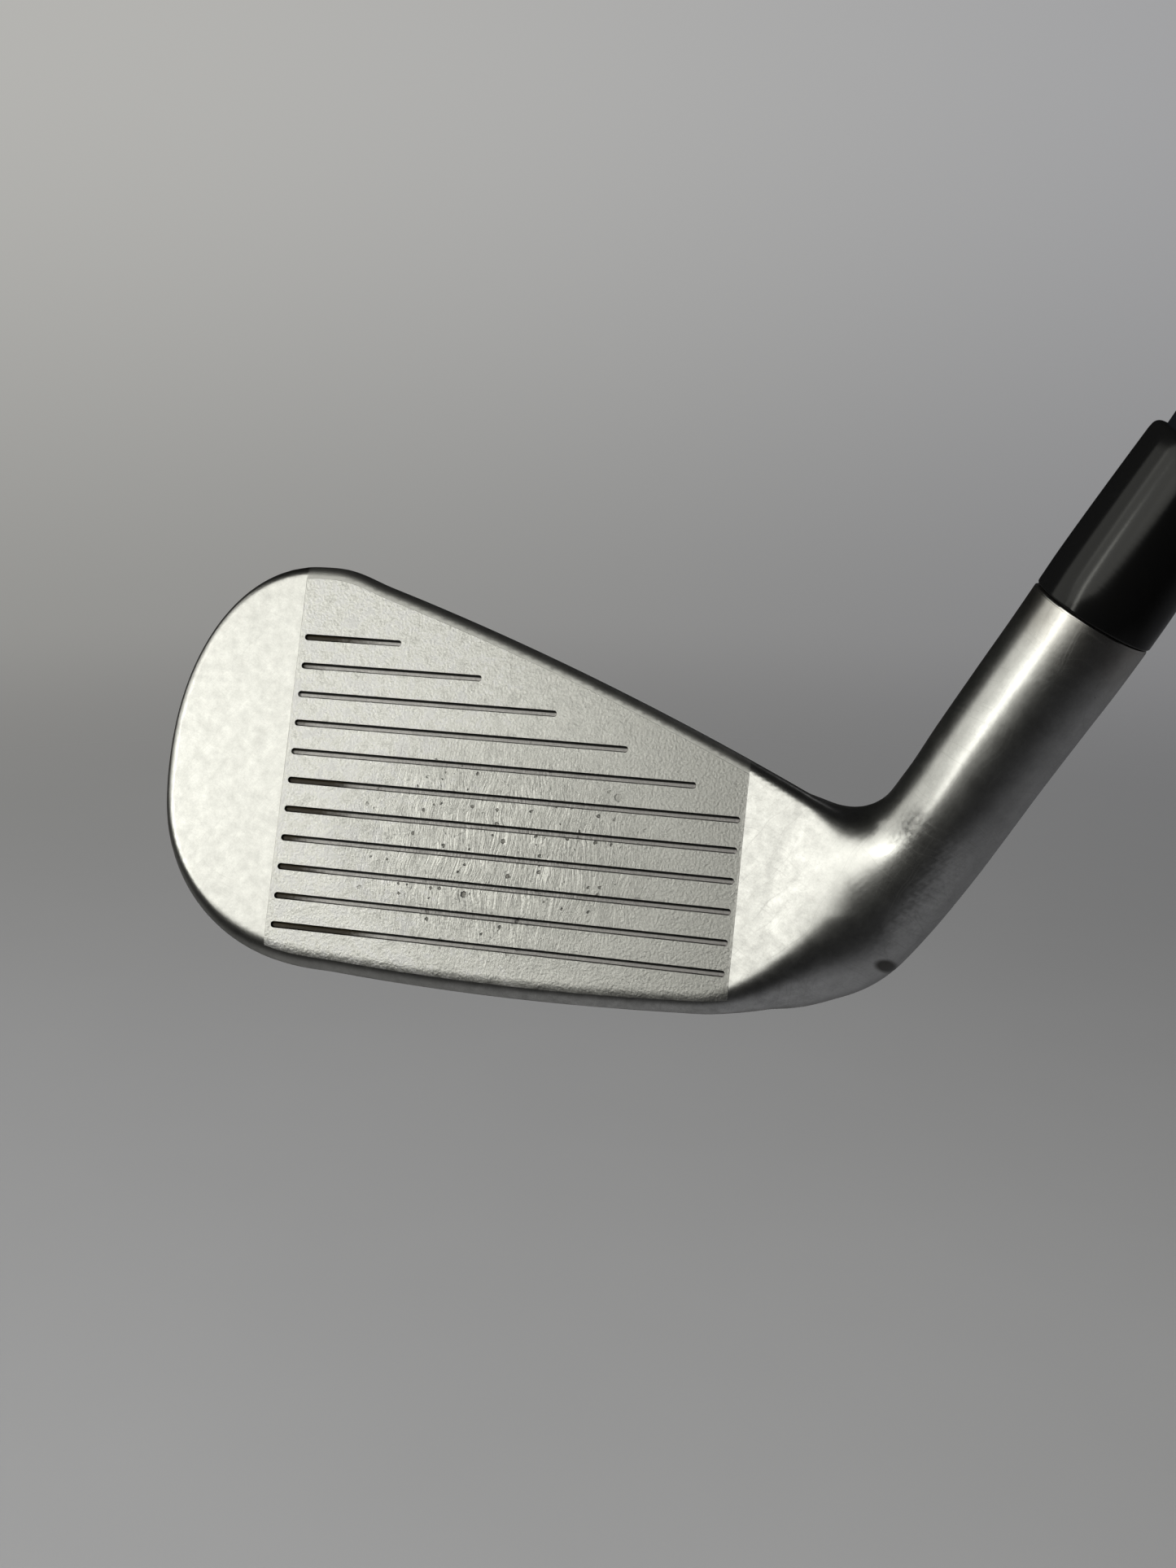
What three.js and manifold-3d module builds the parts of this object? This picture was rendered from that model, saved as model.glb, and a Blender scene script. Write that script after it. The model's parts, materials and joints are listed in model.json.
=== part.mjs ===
// Iron golf club, right-handed, long iron with a hollow steel head.
// Millimetres, +Z up. The club stands soled at address: -Y is the target side that the
// face looks at, +X runs from toe to heel. The origin is the centre of the strike face.

import * as THREE from 'three';
import { LoftGeometry } from 'three/addons/geometries/LoftGeometry.js';
import { mergeVertices } from 'three/addons/utils/BufferGeometryUtils.js';
import Module from 'manifold-3d';

const wasm = await Module();
wasm.setup();

const deg = THREE.MathUtils.degToRad;

// ---- driving dimensions -----------------------------------------------------------------

const LOFT = deg(21);
const LIE = deg(61.2);
const CLUB_LENGTH = 978;              // along the shaft axis, ground plane to butt end
const AXIS_ON_GROUND = new THREE.Vector3(37.3, 2.9, -22);

const GAP = 0.3;                      // clearance where one piece is let into another
const FILM = 0.05;                    // clearance around bonded and wrapped layers
const OVERCUT = 2;                    // how far a cutter stands out of the metal

const TOE_X = -43.9;
const TOE_V = 3.2;                    // height of the foremost toe point on the face
const PEAK_X = -26.5;
const PEAK_V = 28.2;
const PEAK_BOW = 0.012;               // drop either side of the peak per mm squared
const PEAK_BLEND = 9;                 // run over which the peak eases into the topline
const TOPLINE_X = -16;
const TOPLINE_V = 25.7;
const TOPLINE_SLOPE = 0.316;
const TOPLINE_BOW = 0.0015;
const TOE_TOP_POWER = 2.1;            // 2 is an ellipse, more is squarer
const TOE_BELLY_POWER = 2.35;
const HEEL_POWER = 2;
const BELLY_X = -20;                  // where the toe curve runs into the sole line
const SOLE_V = -21.6;
const SOLE_CAMBER = 0.00145;          // rise of the sole line per mm squared
const SOLE_MID_X = 2;
const HEEL_START_X = 24;
const HEEL_X = 47;
const HEEL_RISE = 10;
const CROTCH_X = 35;                  // where the blade starts to close inside the neck
const HEEL_V = -8;

const EDGE_R = 1.0;
const BACK_EDGE_R = 1.5;
const LEADING_R = 3;
const TRAILING_R = 3;
const SOLE_LENGTH = 12.5;             // flat stretch between leading and trailing radii
const BOUNCE = deg(4);
const BLADE_DEPTH = 7;
const MUSCLE_TOP = 0.42;              // share of the blade height that the muscle fills
const MUSCLE_DEPTH = 13;
const MUSCLE_STEP_UP = 2.4;           // the step in the back, above and below that share
const MUSCLE_STEP_DOWN = 1.2;
const FULL_HEIGHT = 26;               // a lower slice gets proportionally smaller radii
const THIN_DEPTH = 0.4;               // share of the depth left where the blade runs out
const THIN_MUSCLE = 0.45;
const HEEL_SOLE_CUT = 0.25;           // share of the sole's length lost towards the heel
const HEEL_SOLE_FROM = 15;
const HEEL_SOLE_TO = 45;
const TOE_STEPS = 12;
const TOE_FIRST_STEP = 0.35;          // keeps the first slice clear of the toe's point
const BLADE_STEPS = 20;
const HEEL_STOP = 0.5;
const EDGE_FACETS = 3;
const SOLE_FACETS = 5;
const TRAILING_FROM = deg(-75.6);     // where the back runs into the trailing radius

const HOSEL_R = 6.75;
const HOSEL_TOP = 55.9;               // along the shaft axis from the ground
const NECK_START = new THREE.Vector3(20, 3.6, -13.5);
const NECK_PULL = new THREE.Vector3(36, 2.9, -14);
const NECK_JOIN = 27;                 // along the shaft axis, where the bend ends
const NECK_BEND = 11;
const NECK_START_R = 5.4;
const NECK_SWELL = 0.5;               // how far the neck is taller than round at the bend
const NECK_SLICES = 14;
const BORE_R = 4.95;
const BORE_BOTTOM = 24;

const PLATE_LEFT = -28.2;
const PLATE_RIGHT = 28.3;
const PLATE_INSET = 1.7;
const PLATE_THICK = 2.4;
const GROOVE_COUNT = 11;
const GROOVE_PITCH = 3.5;
const GROOVE_FIRST_V = -15.75;
const GROOVE_LEFT = -27.2;
const GROOVE_LENGTH = 54.6;
const GROOVE_WIDTH = 0.75;
const GROOVE_DEPTH = 0.4;
const GROOVE_STEP = 0.1;
const GROOVE_INSET = 6.3;             // distance from the topline to a groove's end

const HOLLOW_INSET = 4.2;
const HOLLOW_BACK = 4.9;
const HOLLOW_TOE = 6;                 // how far the hollow reaches past the plate's toe edge
const HOLLOW_HEEL = 2.8;              // how far it stops short of the plate's heel edge
const CHAMBER_BACK = 11.5;
const CHAMBER_TOP_V = -8.5;
const CHAMBER_RIGHT = 18;

// Places on the head: x toe to heel, v up the face, w out of the face.
const WEIGHT = { width: 17, height: 7.5, depth: 7, x: -24.5, v: -11.6, w: -7 };
const BADGE = { x: -4, v: 9.5, length: 36, height: 8.5, floor: 6.0, lean: deg(-19) };
const BADGE_GLUE = { inset: 0.6, near: 0.1, far: 0.3 };
const BADGE_LIFT = 0.4;               // the badge's underside above the recess floor
const PORT = { x: -45, v: 1.5, w: -3.6, radius: 1.9, from: 1.6, length: 4.2, reach: 13 };
const PORT_CLEAR = 0.1;
const SOCKET_R = 0.9;
const SOCKET_DEPTH = 1.2;

const FERRULE_LENGTH = 20.5;
const FERRULE_R = 6.85;
const FERRULE_TOP_R = 6.2;
const FERRULE_ROUND = 0.9;

const SHAFT_TIP_R = 4.7;
const SHAFT_FERRULE_R = 4.9;
const SHAFT_BUTT_R = 7.6;
const SHAFT_WALL = 1.4;
const SHAFT_TIP = BORE_BOTTOM + 1;
const SHAFT_PARALLEL = 150;
const CAP_THICK = 3.2;

const GRIP_LENGTH = 268;
const GRIP_MOUTH_R = 9.9;
const GRIP_BUTT_R = 14.6;
const CAP_R = 15.6;
const TAPE_THICK = 0.25;
const VENT_R = 1.4;

const EPOXY_END = 0.5;                // epoxy stops this far below the hosel's rim
const TIP_WEIGHT_RISE = 2;
const TIP_WEIGHT_LENGTH = 23;
const TIP_WEIGHT_CHAMFER = 0.9;
const FERRULE_STRAIGHT = 3;
const LABEL_LENGTH = 110;
const LABEL_BELOW_GRIP = 40;
const LABEL_THICK = 0.12;
const TAPE_START = 4;                 // the tape starts this far inside the grip's mouth
const GRIP_POWER = 1.15;              // above 1, the grip swells mostly near the butt
const GRIP_LIP = 0.7;
const CAP_ROUND = 1.4;
const CAP_STEP = 0.2;
const CAP_RISE = 1;

const ROUND_SIDES = 40;
const PORT_SIDES = 24;
const CURVE_FACETS = 8;
const OUTLINE_STEPS = 14;
const ARC_STEPS = 4;
const GRIP_STEPS = 10;

// ---- materials --------------------------------------------------------------------------

const finish = (color, roughness, metalness) =>
  new THREE.MeshStandardMaterial({ color, roughness, metalness });

const satinChrome = finish('#d9d9d2', 0.34, 1);
const blastedSteel = finish('#bdbeb2', 0.52, 1);
const blackGloss = finish('#0b0b0c', 0.18, 0);
const blackShaft = finish('#101113', 0.25, 0.1);
const blackRubber = finish('#191a1b', 0.85, 0);
const tungsten = finish('#6f7073', 0.5, 1);
const foam = finish('#d8c98f', 0.9, 0);
const epoxy = finish('#c8c4b0', 0.4, 0);
const tape = finish('#e6ddc5', 0.9, 0);
const badgeAlloy = finish('#4b4e52', 0.35, 1);
const brass = finish('#b38f4d', 0.35, 1);
const label = finish('#c9ccd0', 0.4, 0.2);

// ---- booleans ---------------------------------------------------------------------------

function solid(geometry) {
  const bare = new THREE.BufferGeometry();
  bare.setAttribute('position', geometry.attributes.position);
  bare.setIndex(geometry.index);
  const merged = mergeVertices(bare, 1e-4);
  return new wasm.Manifold(new wasm.Mesh({
    numProp: 3,
    vertProperties: new Float32Array(merged.attributes.position.array),
    triVerts: new Uint32Array(merged.index.array),
  }));
}

function toGeometry(manifold) {
  const mesh = manifold.getMesh();
  const geometry = new THREE.BufferGeometry();
  geometry.setAttribute('position', new THREE.Float32BufferAttribute(mesh.vertProperties, 3));
  geometry.setIndex(new THREE.Uint32BufferAttribute(mesh.triVerts, 1));
  geometry.computeVertexNormals();
  return geometry;
}

function named(name, geometry, material) {
  const mesh = new THREE.Mesh(geometry, material);
  mesh.name = name;
  return mesh;
}

// ---- the two working frames -------------------------------------------------------------
// Head frame: X toe to heel, Y up the face, Z out of the face.
// Shaft frame: Y along the shaft from the ground point to the butt.

const headFrame = new THREE.Group();
headFrame.rotation.x = Math.PI / 2 - LOFT;

const shaftFrame = new THREE.Group();
const shaftAxis = new THREE.Vector3(Math.cos(LIE), 0, Math.sin(LIE));
shaftFrame.position.copy(AXIS_ON_GROUND);
shaftFrame.quaternion.setFromUnitVectors(new THREE.Vector3(0, 1, 0), shaftAxis);

headFrame.updateMatrixWorld();
shaftFrame.updateMatrixWorld();
const shaftToHead = headFrame.matrixWorld.clone().invert().multiply(shaftFrame.matrixWorld);

// ---- blade outline ----------------------------------------------------------------------

function roundedQuarter(t, power) {
  return Math.pow(Math.max(0, 1 - Math.pow(Math.min(1, t), power)), 1 / power);
}

function toplineHeight(x) {
  const run = x - TOPLINE_X;
  return TOPLINE_V - TOPLINE_SLOPE * run - TOPLINE_BOW * run * run;
}

function topHeight(x) {
  if (x < PEAK_X) {
    const t = (PEAK_X - x) / (PEAK_X - TOE_X);
    return TOE_V + (PEAK_V - TOE_V) * roundedQuarter(t, TOE_TOP_POWER);
  }
  const blend = THREE.MathUtils.smoothstep(x, PEAK_X, PEAK_X + PEAK_BLEND);
  const line = THREE.MathUtils.lerp(
    PEAK_V - PEAK_BOW * (x - PEAK_X) ** 2, toplineHeight(x), blend);
  const close = Math.max(0, (x - CROTCH_X) / (HEEL_X - CROTCH_X));
  return HEEL_V + (line - HEEL_V) * roundedQuarter(close, HEEL_POWER);
}

function soleHeight(x) {
  const camber = SOLE_V + SOLE_CAMBER * (x - SOLE_MID_X) ** 2;
  if (x < BELLY_X) {
    const belly = SOLE_V + SOLE_CAMBER * (BELLY_X - SOLE_MID_X) ** 2;
    const t = (BELLY_X - x) / (BELLY_X - TOE_X);
    return TOE_V + (belly - TOE_V) * roundedQuarter(t, TOE_BELLY_POWER);
  }
  const heel = Math.max(0, (x - HEEL_START_X) / (HEEL_X - HEEL_START_X));
  return camber + HEEL_RISE * (1 - roundedQuarter(heel, HEEL_POWER));
}

// ---- head body --------------------------------------------------------------------------

function arc(centreV, centreW, radius, from, to, steps) {
  const points = [];
  for (let i = 0; i <= steps; i++) {
    const angle = from + (to - from) * i / steps;
    points.push([centreV + radius * Math.cos(angle), centreW + radius * Math.sin(angle)]);
  }
  return points;
}

// One slice across the blade: a list of (height, depth) pairs, from the face round over
// the topline, down the back, along the sole and up the leading edge.
function bladeSlice(x) {
  const top = topHeight(x);
  const sole = soleHeight(x);
  const height = top - sole;
  const size = Math.min(1, height / FULL_HEIGHT);
  const edge = EDGE_R * size;
  const backEdge = BACK_EDGE_R * size;
  const depth = BLADE_DEPTH * THREE.MathUtils.lerp(THIN_DEPTH, 1, size);
  const lead = LEADING_R * size;
  const soleTilt = LOFT - BOUNCE;
  const heel = THREE.MathUtils.smoothstep(x, HEEL_SOLE_FROM, HEEL_SOLE_TO);
  const run = SOLE_LENGTH * size * (1 - HEEL_SOLE_CUT * heel);
  const trailV = sole + lead + run * Math.sin(soleTilt);
  const trailW = -lead - run * Math.cos(soleTilt);
  const muscle = sole + height * MUSCLE_TOP;
  const muscleDepth = MUSCLE_DEPTH * THREE.MathUtils.lerp(THIN_MUSCLE, 1, size);
  return [
    ...arc(top - edge, -edge, edge, Math.PI / 2, 0, EDGE_FACETS),
    ...arc(top - backEdge, -depth + backEdge, backEdge, 0, -Math.PI / 2, EDGE_FACETS),
    [muscle + MUSCLE_STEP_UP * size, -depth],
    [muscle - MUSCLE_STEP_DOWN * size, -muscleDepth],
    ...arc(trailV, trailW, TRAILING_R * size, TRAILING_FROM, soleTilt - Math.PI, SOLE_FACETS),
    ...arc(sole + lead, -lead, lead, soleTilt - Math.PI, -Math.PI * 1.5, SOLE_FACETS),
  ];
}

function bladeStations() {
  const stations = [];
  for (let i = 0; i < TOE_STEPS; i++) {
    const turn = Math.PI / 2 * (i + TOE_FIRST_STEP) / TOE_STEPS;
    stations.push(TOE_X + (BELLY_X - TOE_X) * (1 - Math.cos(turn)));
  }
  const last = HEEL_X - HEEL_STOP;
  for (let i = 0; i <= BLADE_STEPS; i++) {
    stations.push(BELLY_X + (last - BELLY_X) * i / BLADE_STEPS);
  }
  return stations;
}

function bladeSolid() {
  const sections = bladeStations().map((x) =>
    bladeSlice(x).map(([v, w]) => new THREE.Vector3(x, v, w)).reverse());
  return solid(new LoftGeometry(sections, { capStart: true, capEnd: true }));
}

// The neck leaves the heel level with the sole and bends up into the hosel.
function neckSolid() {
  const rise = new THREE.Vector3(0, 1, 0);
  const foot = AXIS_ON_GROUND.clone().addScaledVector(shaftAxis, NECK_JOIN);
  const pull = foot.clone().addScaledVector(shaftAxis, -NECK_BEND);
  const path = new THREE.CubicBezierCurve3(NECK_START, NECK_PULL, pull, foot);
  const sections = [];
  for (let i = 0; i <= NECK_SLICES; i++) {
    const t = i / NECK_SLICES;
    const centre = path.getPoint(t);
    const along = path.getTangent(t);
    const up = new THREE.Vector3().crossVectors(along, rise).normalize();
    const swell = THREE.MathUtils.smoothstep(t, 0, 0.5);
    const deep = THREE.MathUtils.lerp(NECK_START_R, HOSEL_R, swell);
    const tall = deep + NECK_SWELL * (swell - t);
    sections.push(ringPoints(centre, up, rise, tall, deep));
  }
  const top = AXIS_ON_GROUND.clone().addScaledVector(shaftAxis, HOSEL_TOP);
  const up = new THREE.Vector3().crossVectors(shaftAxis, rise).normalize();
  sections.push(ringPoints(top, up, rise, HOSEL_R, HOSEL_R));
  const geometry = new LoftGeometry(sections, { capStart: true, capEnd: true });
  geometry.applyMatrix4(headFrame.matrixWorld.clone().invert());
  return solid(geometry);
}

function ringPoints(centre, first, second, firstRadius, secondRadius) {
  const points = [];
  for (let i = 0; i < ROUND_SIDES; i++) {
    const angle = -2 * Math.PI * i / ROUND_SIDES;
    points.push(centre.clone()
      .addScaledVector(first, firstRadius * Math.cos(angle))
      .addScaledVector(second, secondRadius * Math.sin(angle)));
  }
  return points;
}

// ---- shapes let into the head -----------------------------------------------------------

// Outline of the face between two stations, inset from the topline and the sole line.
function faceOutline(left, right, inset, ceiling = Infinity) {
  const upper = [];
  const lower = [];
  for (let i = 0; i <= OUTLINE_STEPS; i++) {
    const x = left + (right - left) * i / OUTLINE_STEPS;
    upper.push(new THREE.Vector2(x, Math.min(ceiling, topHeight(x) - inset)));
    lower.push(new THREE.Vector2(x, soleHeight(x) + inset));
  }
  return new THREE.Shape([...lower, ...upper.reverse()]);
}

// A straight-walled block of the given outline, from one depth behind the face to another.
function block(shape, near, far) {
  const geometry = new THREE.ExtrudeGeometry(shape, {
    depth: far - near, bevelEnabled: false, curveSegments: CURVE_FACETS,
  });
  geometry.translate(0, 0, -far);
  return geometry;
}

function hollowSolid(shrink) {
  const inset = HOLLOW_INSET + shrink;
  const left = PLATE_LEFT - HOLLOW_TOE + shrink;
  const right = PLATE_RIGHT - HOLLOW_HEEL - shrink;
  const near = PLATE_THICK + GAP + shrink;
  const upper = block(faceOutline(left, right, inset), near, HOLLOW_BACK - shrink);
  const lower = block(
    faceOutline(left, CHAMBER_RIGHT - shrink, inset, CHAMBER_TOP_V - shrink),
    near, CHAMBER_BACK - shrink);
  return solid(upper).add(solid(lower));
}

function weightBox(grow) {
  const geometry = new THREE.BoxGeometry(
    WEIGHT.width + 2 * grow, WEIGHT.height + 2 * grow, WEIGHT.depth + 2 * grow);
  geometry.translate(WEIGHT.x, WEIGHT.v, WEIGHT.w);
  return geometry;
}

function badgeShape(grow) {
  const radius = BADGE.height / 2 + grow;
  const half = BADGE.length / 2 - BADGE.height / 2;
  const shape = new THREE.Shape();
  shape.absarc(half, 0, radius, -Math.PI / 2, Math.PI / 2);
  shape.absarc(-half, 0, radius, Math.PI / 2, Math.PI * 1.5);
  return shape;
}

function badgeLayer(grow, near, far) {
  const geometry = block(badgeShape(grow), near, far);
  geometry.rotateZ(BADGE.lean);
  geometry.translate(BADGE.x, BADGE.v, 0);
  return geometry;
}

function portCylinder(radius, from, to) {
  const geometry = new THREE.CylinderGeometry(radius, radius, to - from, PORT_SIDES);
  geometry.rotateZ(Math.PI / 2);
  geometry.translate(PORT.x + (from + to) / 2, PORT.v, PORT.w);
  return geometry;
}

function boreGeometry() {
  const geometry = lathe([
    [0, BORE_BOTTOM],
    [BORE_R, BORE_BOTTOM],
    [BORE_R, HOSEL_TOP + OVERCUT],
    [0, HOSEL_TOP + OVERCUT],
  ]);
  geometry.applyMatrix4(shaftToHead);
  return geometry;
}

function headBody() {
  const pocket = block(
    faceOutline(PLATE_LEFT - GAP, PLATE_RIGHT + GAP, PLATE_INSET - GAP),
    -OVERCUT, PLATE_THICK + GAP);
  const body = bladeSolid()
    .add(neckSolid())
    .subtract(solid(pocket))
    .subtract(hollowSolid(0))
    .subtract(solid(boreGeometry()))
    .subtract(solid(badgeLayer(GAP, BADGE.floor, BLADE_DEPTH + OVERCUT)))
    .subtract(solid(portCylinder(PORT.radius + PORT_CLEAR, -OVERCUT, PORT.reach)));
  return named('head_body', toGeometry(body), satinChrome);
}

// ---- pieces of the head -----------------------------------------------------------------

function grooveCutter(v) {
  const right = Math.min(GROOVE_LEFT + GROOVE_LENGTH, grooveEnd(v));
  const radius = GROOVE_WIDTH / 2;
  const shape = new THREE.Shape();
  shape.absarc(right - radius, v, radius, -Math.PI / 2, Math.PI / 2);
  shape.absarc(GROOVE_LEFT + radius, v, radius, Math.PI / 2, Math.PI * 1.5);
  return block(shape, -OVERCUT, GROOVE_DEPTH);
}

// Where a groove meets the line that runs parallel to the topline.
function grooveEnd(v) {
  let x = GROOVE_LEFT;
  while (topHeight(x) - GROOVE_INSET > v && x < GROOVE_LEFT + GROOVE_LENGTH) {
    x += GROOVE_STEP;
  }
  return x;
}

function facePlate() {
  let plate = solid(block(faceOutline(PLATE_LEFT, PLATE_RIGHT, PLATE_INSET), 0, PLATE_THICK));
  for (let i = 0; i < GROOVE_COUNT; i++) {
    plate = plate.subtract(solid(grooveCutter(GROOVE_FIRST_V + i * GROOVE_PITCH)));
  }
  return named('face_plate', toGeometry(plate), blastedSteel);
}

function foamCore() {
  const core = hollowSolid(GAP).subtract(solid(weightBox(GAP)));
  return named('foam_core', toGeometry(core), foam);
}

function toeWeight() {
  const slug = hollowSolid(GAP).intersect(solid(weightBox(0)));
  return named('toe_weight', toGeometry(slug), tungsten);
}

function portScrew() {
  const shank = solid(portCylinder(PORT.radius, PORT.from, PORT.from + PORT.length));
  const socket = new THREE.CylinderGeometry(SOCKET_R, SOCKET_R, 2 * SOCKET_DEPTH, 6);
  socket.rotateZ(Math.PI / 2);
  socket.translate(PORT.x + PORT.from, PORT.v, PORT.w);
  return named('toe_port_screw', toGeometry(shank.subtract(solid(socket))), satinChrome);
}

function badgeAdhesive() {
  const { inset, near, far } = BADGE_GLUE;
  const film = badgeLayer(-inset, BADGE.floor + near, BADGE.floor + far);
  return named('badge_adhesive', film, tape);
}

function backBadge() {
  return named('back_badge', badgeLayer(0, BADGE.floor + BADGE_LIFT, BLADE_DEPTH), badgeAlloy);
}

// ---- pieces on the shaft line -----------------------------------------------------------

function lathe(profile) {
  return new THREE.LatheGeometry(
    profile.map(([radius, along]) => new THREE.Vector2(radius, along)), ROUND_SIDES);
}

// A closed ring profile goes up the outside and comes back down the inside.
function sleeve(outer, inner) {
  return lathe([...outer, ...inner.slice().reverse(), outer[0]]);
}

const FERRULE_TOP = HOSEL_TOP + FERRULE_LENGTH;
const TAPER_START = SHAFT_TIP + SHAFT_PARALLEL;
const TAPER_END = CLUB_LENGTH - GRIP_LENGTH;
const SHAFT_END = CLUB_LENGTH - CAP_THICK - GAP;

// Outside of the shaft: radius at each station along the club.
const SHAFT_STATIONS = [
  [SHAFT_TIP_R, SHAFT_TIP],
  [SHAFT_FERRULE_R, FERRULE_TOP],
  [SHAFT_FERRULE_R, TAPER_START],
  [SHAFT_BUTT_R, TAPER_END],
  [SHAFT_BUTT_R, SHAFT_END],
];

function shaftRadius(along) {
  const next = SHAFT_STATIONS.findIndex(([, station]) => station >= along);
  const [highRadius, high] = SHAFT_STATIONS[Math.max(1, next)];
  const [lowRadius, low] = SHAFT_STATIONS[Math.max(1, next) - 1];
  return THREE.MathUtils.mapLinear(along, low, high, lowRadius, highRadius);
}

// The stretch of the shaft's outline between two stations, moved out by an offset.
function shaftProfile(offset, from, to) {
  const between = SHAFT_STATIONS.map(([, station]) => station)
    .filter((station) => station > from && station < to);
  return [from, ...between, to].map((along) => [shaftRadius(along) + offset, along]);
}

function shaft() {
  return named('shaft', sleeve(
    shaftProfile(0, SHAFT_TIP, SHAFT_END),
    shaftProfile(-SHAFT_WALL, SHAFT_TIP, SHAFT_END)), blackShaft);
}

function hoselEpoxy() {
  const from = SHAFT_TIP + EPOXY_END;
  const to = HOSEL_TOP - EPOXY_END;
  return named('hosel_epoxy', sleeve(
    [[BORE_R - FILM, from], [BORE_R - FILM, to]],
    [[shaftRadius(from) + FILM, from], [shaftRadius(to) + FILM, to]]), epoxy);
}

function tipWeight() {
  const radius = SHAFT_TIP_R - SHAFT_WALL - 2 * FILM;
  const from = SHAFT_TIP + TIP_WEIGHT_RISE;
  const to = from + TIP_WEIGHT_LENGTH;
  return named('tip_weight', lathe([
    [0, from],
    [radius, from],
    [radius, to - TIP_WEIGHT_CHAMFER],
    [radius - TIP_WEIGHT_CHAMFER, to],
    [0, to],
  ]), brass);
}

function ferrule() {
  const from = HOSEL_TOP + FILM * 2;
  const to = FERRULE_TOP;
  const shoulder = arc(
    FERRULE_TOP_R - FERRULE_ROUND, to - FERRULE_ROUND, FERRULE_ROUND, 0, Math.PI / 2, ARC_STEPS);
  const bore = FILM * 2;
  return named('ferrule', sleeve(
    [[FERRULE_R, from], [FERRULE_R, from + FERRULE_STRAIGHT], ...shoulder],
    [[shaftRadius(from) + bore, from], [shaftRadius(to) + bore, to]]), blackGloss);
}

function shaftLabel() {
  const to = CLUB_LENGTH - GRIP_LENGTH - LABEL_BELOW_GRIP;
  const from = to - LABEL_LENGTH;
  return named('shaft_label', sleeve(
    shaftProfile(FILM + LABEL_THICK, from, to), shaftProfile(FILM, from, to)), label);
}

function gripTape() {
  const from = CLUB_LENGTH - GRIP_LENGTH + TAPE_START;
  const to = SHAFT_END - GAP;
  return named('grip_tape', sleeve(
    shaftProfile(FILM + TAPE_THICK, from, to), shaftProfile(FILM, from, to)), tape);
}

function gripRadius(along) {
  const t = (along - CLUB_LENGTH + GRIP_LENGTH) / GRIP_LENGTH;
  return THREE.MathUtils.lerp(GRIP_MOUTH_R, GRIP_BUTT_R, Math.pow(t, GRIP_POWER));
}

function grip() {
  const from = CLUB_LENGTH - GRIP_LENGTH;
  const to = SHAFT_END;
  const outer = [[GRIP_MOUTH_R - GRIP_LIP, from]];
  for (let i = 0; i <= GRIP_STEPS; i++) {
    const along = from + GRIP_LIP + (to - from - GRIP_LIP) * i / GRIP_STEPS;
    outer.push([gripRadius(along), along]);
  }
  return named('grip', sleeve(
    outer, shaftProfile(2 * FILM + TAPE_THICK, from, to)), blackRubber);
}

function gripCap() {
  const from = CLUB_LENGTH - CAP_THICK;
  const rim = arc(
    CAP_R - CAP_ROUND, CLUB_LENGTH - CAP_ROUND, CAP_ROUND, 0, Math.PI / 2, ARC_STEPS);
  return named('grip_cap', sleeve(
    [[GRIP_BUTT_R + CAP_STEP, from], [CAP_R, from + CAP_RISE], ...rim],
    [[VENT_R, from], [VENT_R, CLUB_LENGTH]]), blackRubber);
}

// ---- assembly ---------------------------------------------------------------------------

headFrame.add(
  headBody(), facePlate(), foamCore(), toeWeight(), portScrew(), badgeAdhesive(), backBadge());
shaftFrame.add(
  shaft(), hoselEpoxy(), tipWeight(), ferrule(), shaftLabel(), gripTape(), grip(), gripCap());

const club = new THREE.Group();
club.add(headFrame, shaftFrame);

export default club;
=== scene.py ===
"""Iron golf club: the looks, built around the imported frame."""

import json
import math

import bmesh
import bpy
import numpy as np
from mathutils import Matrix, Vector


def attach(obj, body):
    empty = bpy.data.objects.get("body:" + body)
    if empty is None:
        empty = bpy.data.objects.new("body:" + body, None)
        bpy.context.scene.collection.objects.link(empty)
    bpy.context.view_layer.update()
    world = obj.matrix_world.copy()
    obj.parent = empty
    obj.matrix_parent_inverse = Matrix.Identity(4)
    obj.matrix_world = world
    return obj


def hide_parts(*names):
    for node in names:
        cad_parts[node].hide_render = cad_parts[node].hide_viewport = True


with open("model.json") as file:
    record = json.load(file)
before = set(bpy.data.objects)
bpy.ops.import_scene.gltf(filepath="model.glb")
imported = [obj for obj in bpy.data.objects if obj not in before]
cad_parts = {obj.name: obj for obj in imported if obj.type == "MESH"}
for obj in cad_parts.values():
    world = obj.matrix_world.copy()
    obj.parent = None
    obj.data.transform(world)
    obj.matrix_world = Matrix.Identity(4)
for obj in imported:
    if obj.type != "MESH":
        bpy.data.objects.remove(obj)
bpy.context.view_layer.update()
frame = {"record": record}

MM = 0.001

# ---- frames -----------------------------------------------------------------------------
# Head frame: x toe to heel, v up the face, w out of the face, in millimetres, from the
# centre of the strike face. Shaft frame: distance along the shaft axis from the ground.

MOUNTS = {mount["name"]: mount for mount in frame["record"]["mounts"]}
FACE_NORMAL = Vector(MOUNTS["strike_face"]["axis"]).normalized()
HEEL_WARD = Vector((1, 0, 0))
UP_FACE = FACE_NORMAL.cross(HEEL_WARD).normalized()
HEAD = Matrix((HEEL_WARD, UP_FACE, FACE_NORMAL)).transposed()
HEAD_NP = np.array(HEAD)

CLUB_LENGTH = 978.0
SHAFT_AXIS = Vector(MOUNTS["grip"]["axis"]).normalized()
GRIP_MIDDLE = 844.0
AXIS_ON_GROUND = Vector(MOUNTS["grip"]["pos_m"]) / MM - GRIP_MIDDLE * SHAFT_AXIS
SHAFT_TURN = Vector((0, 0, 1)).rotation_difference(SHAFT_AXIS).to_matrix()


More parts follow.
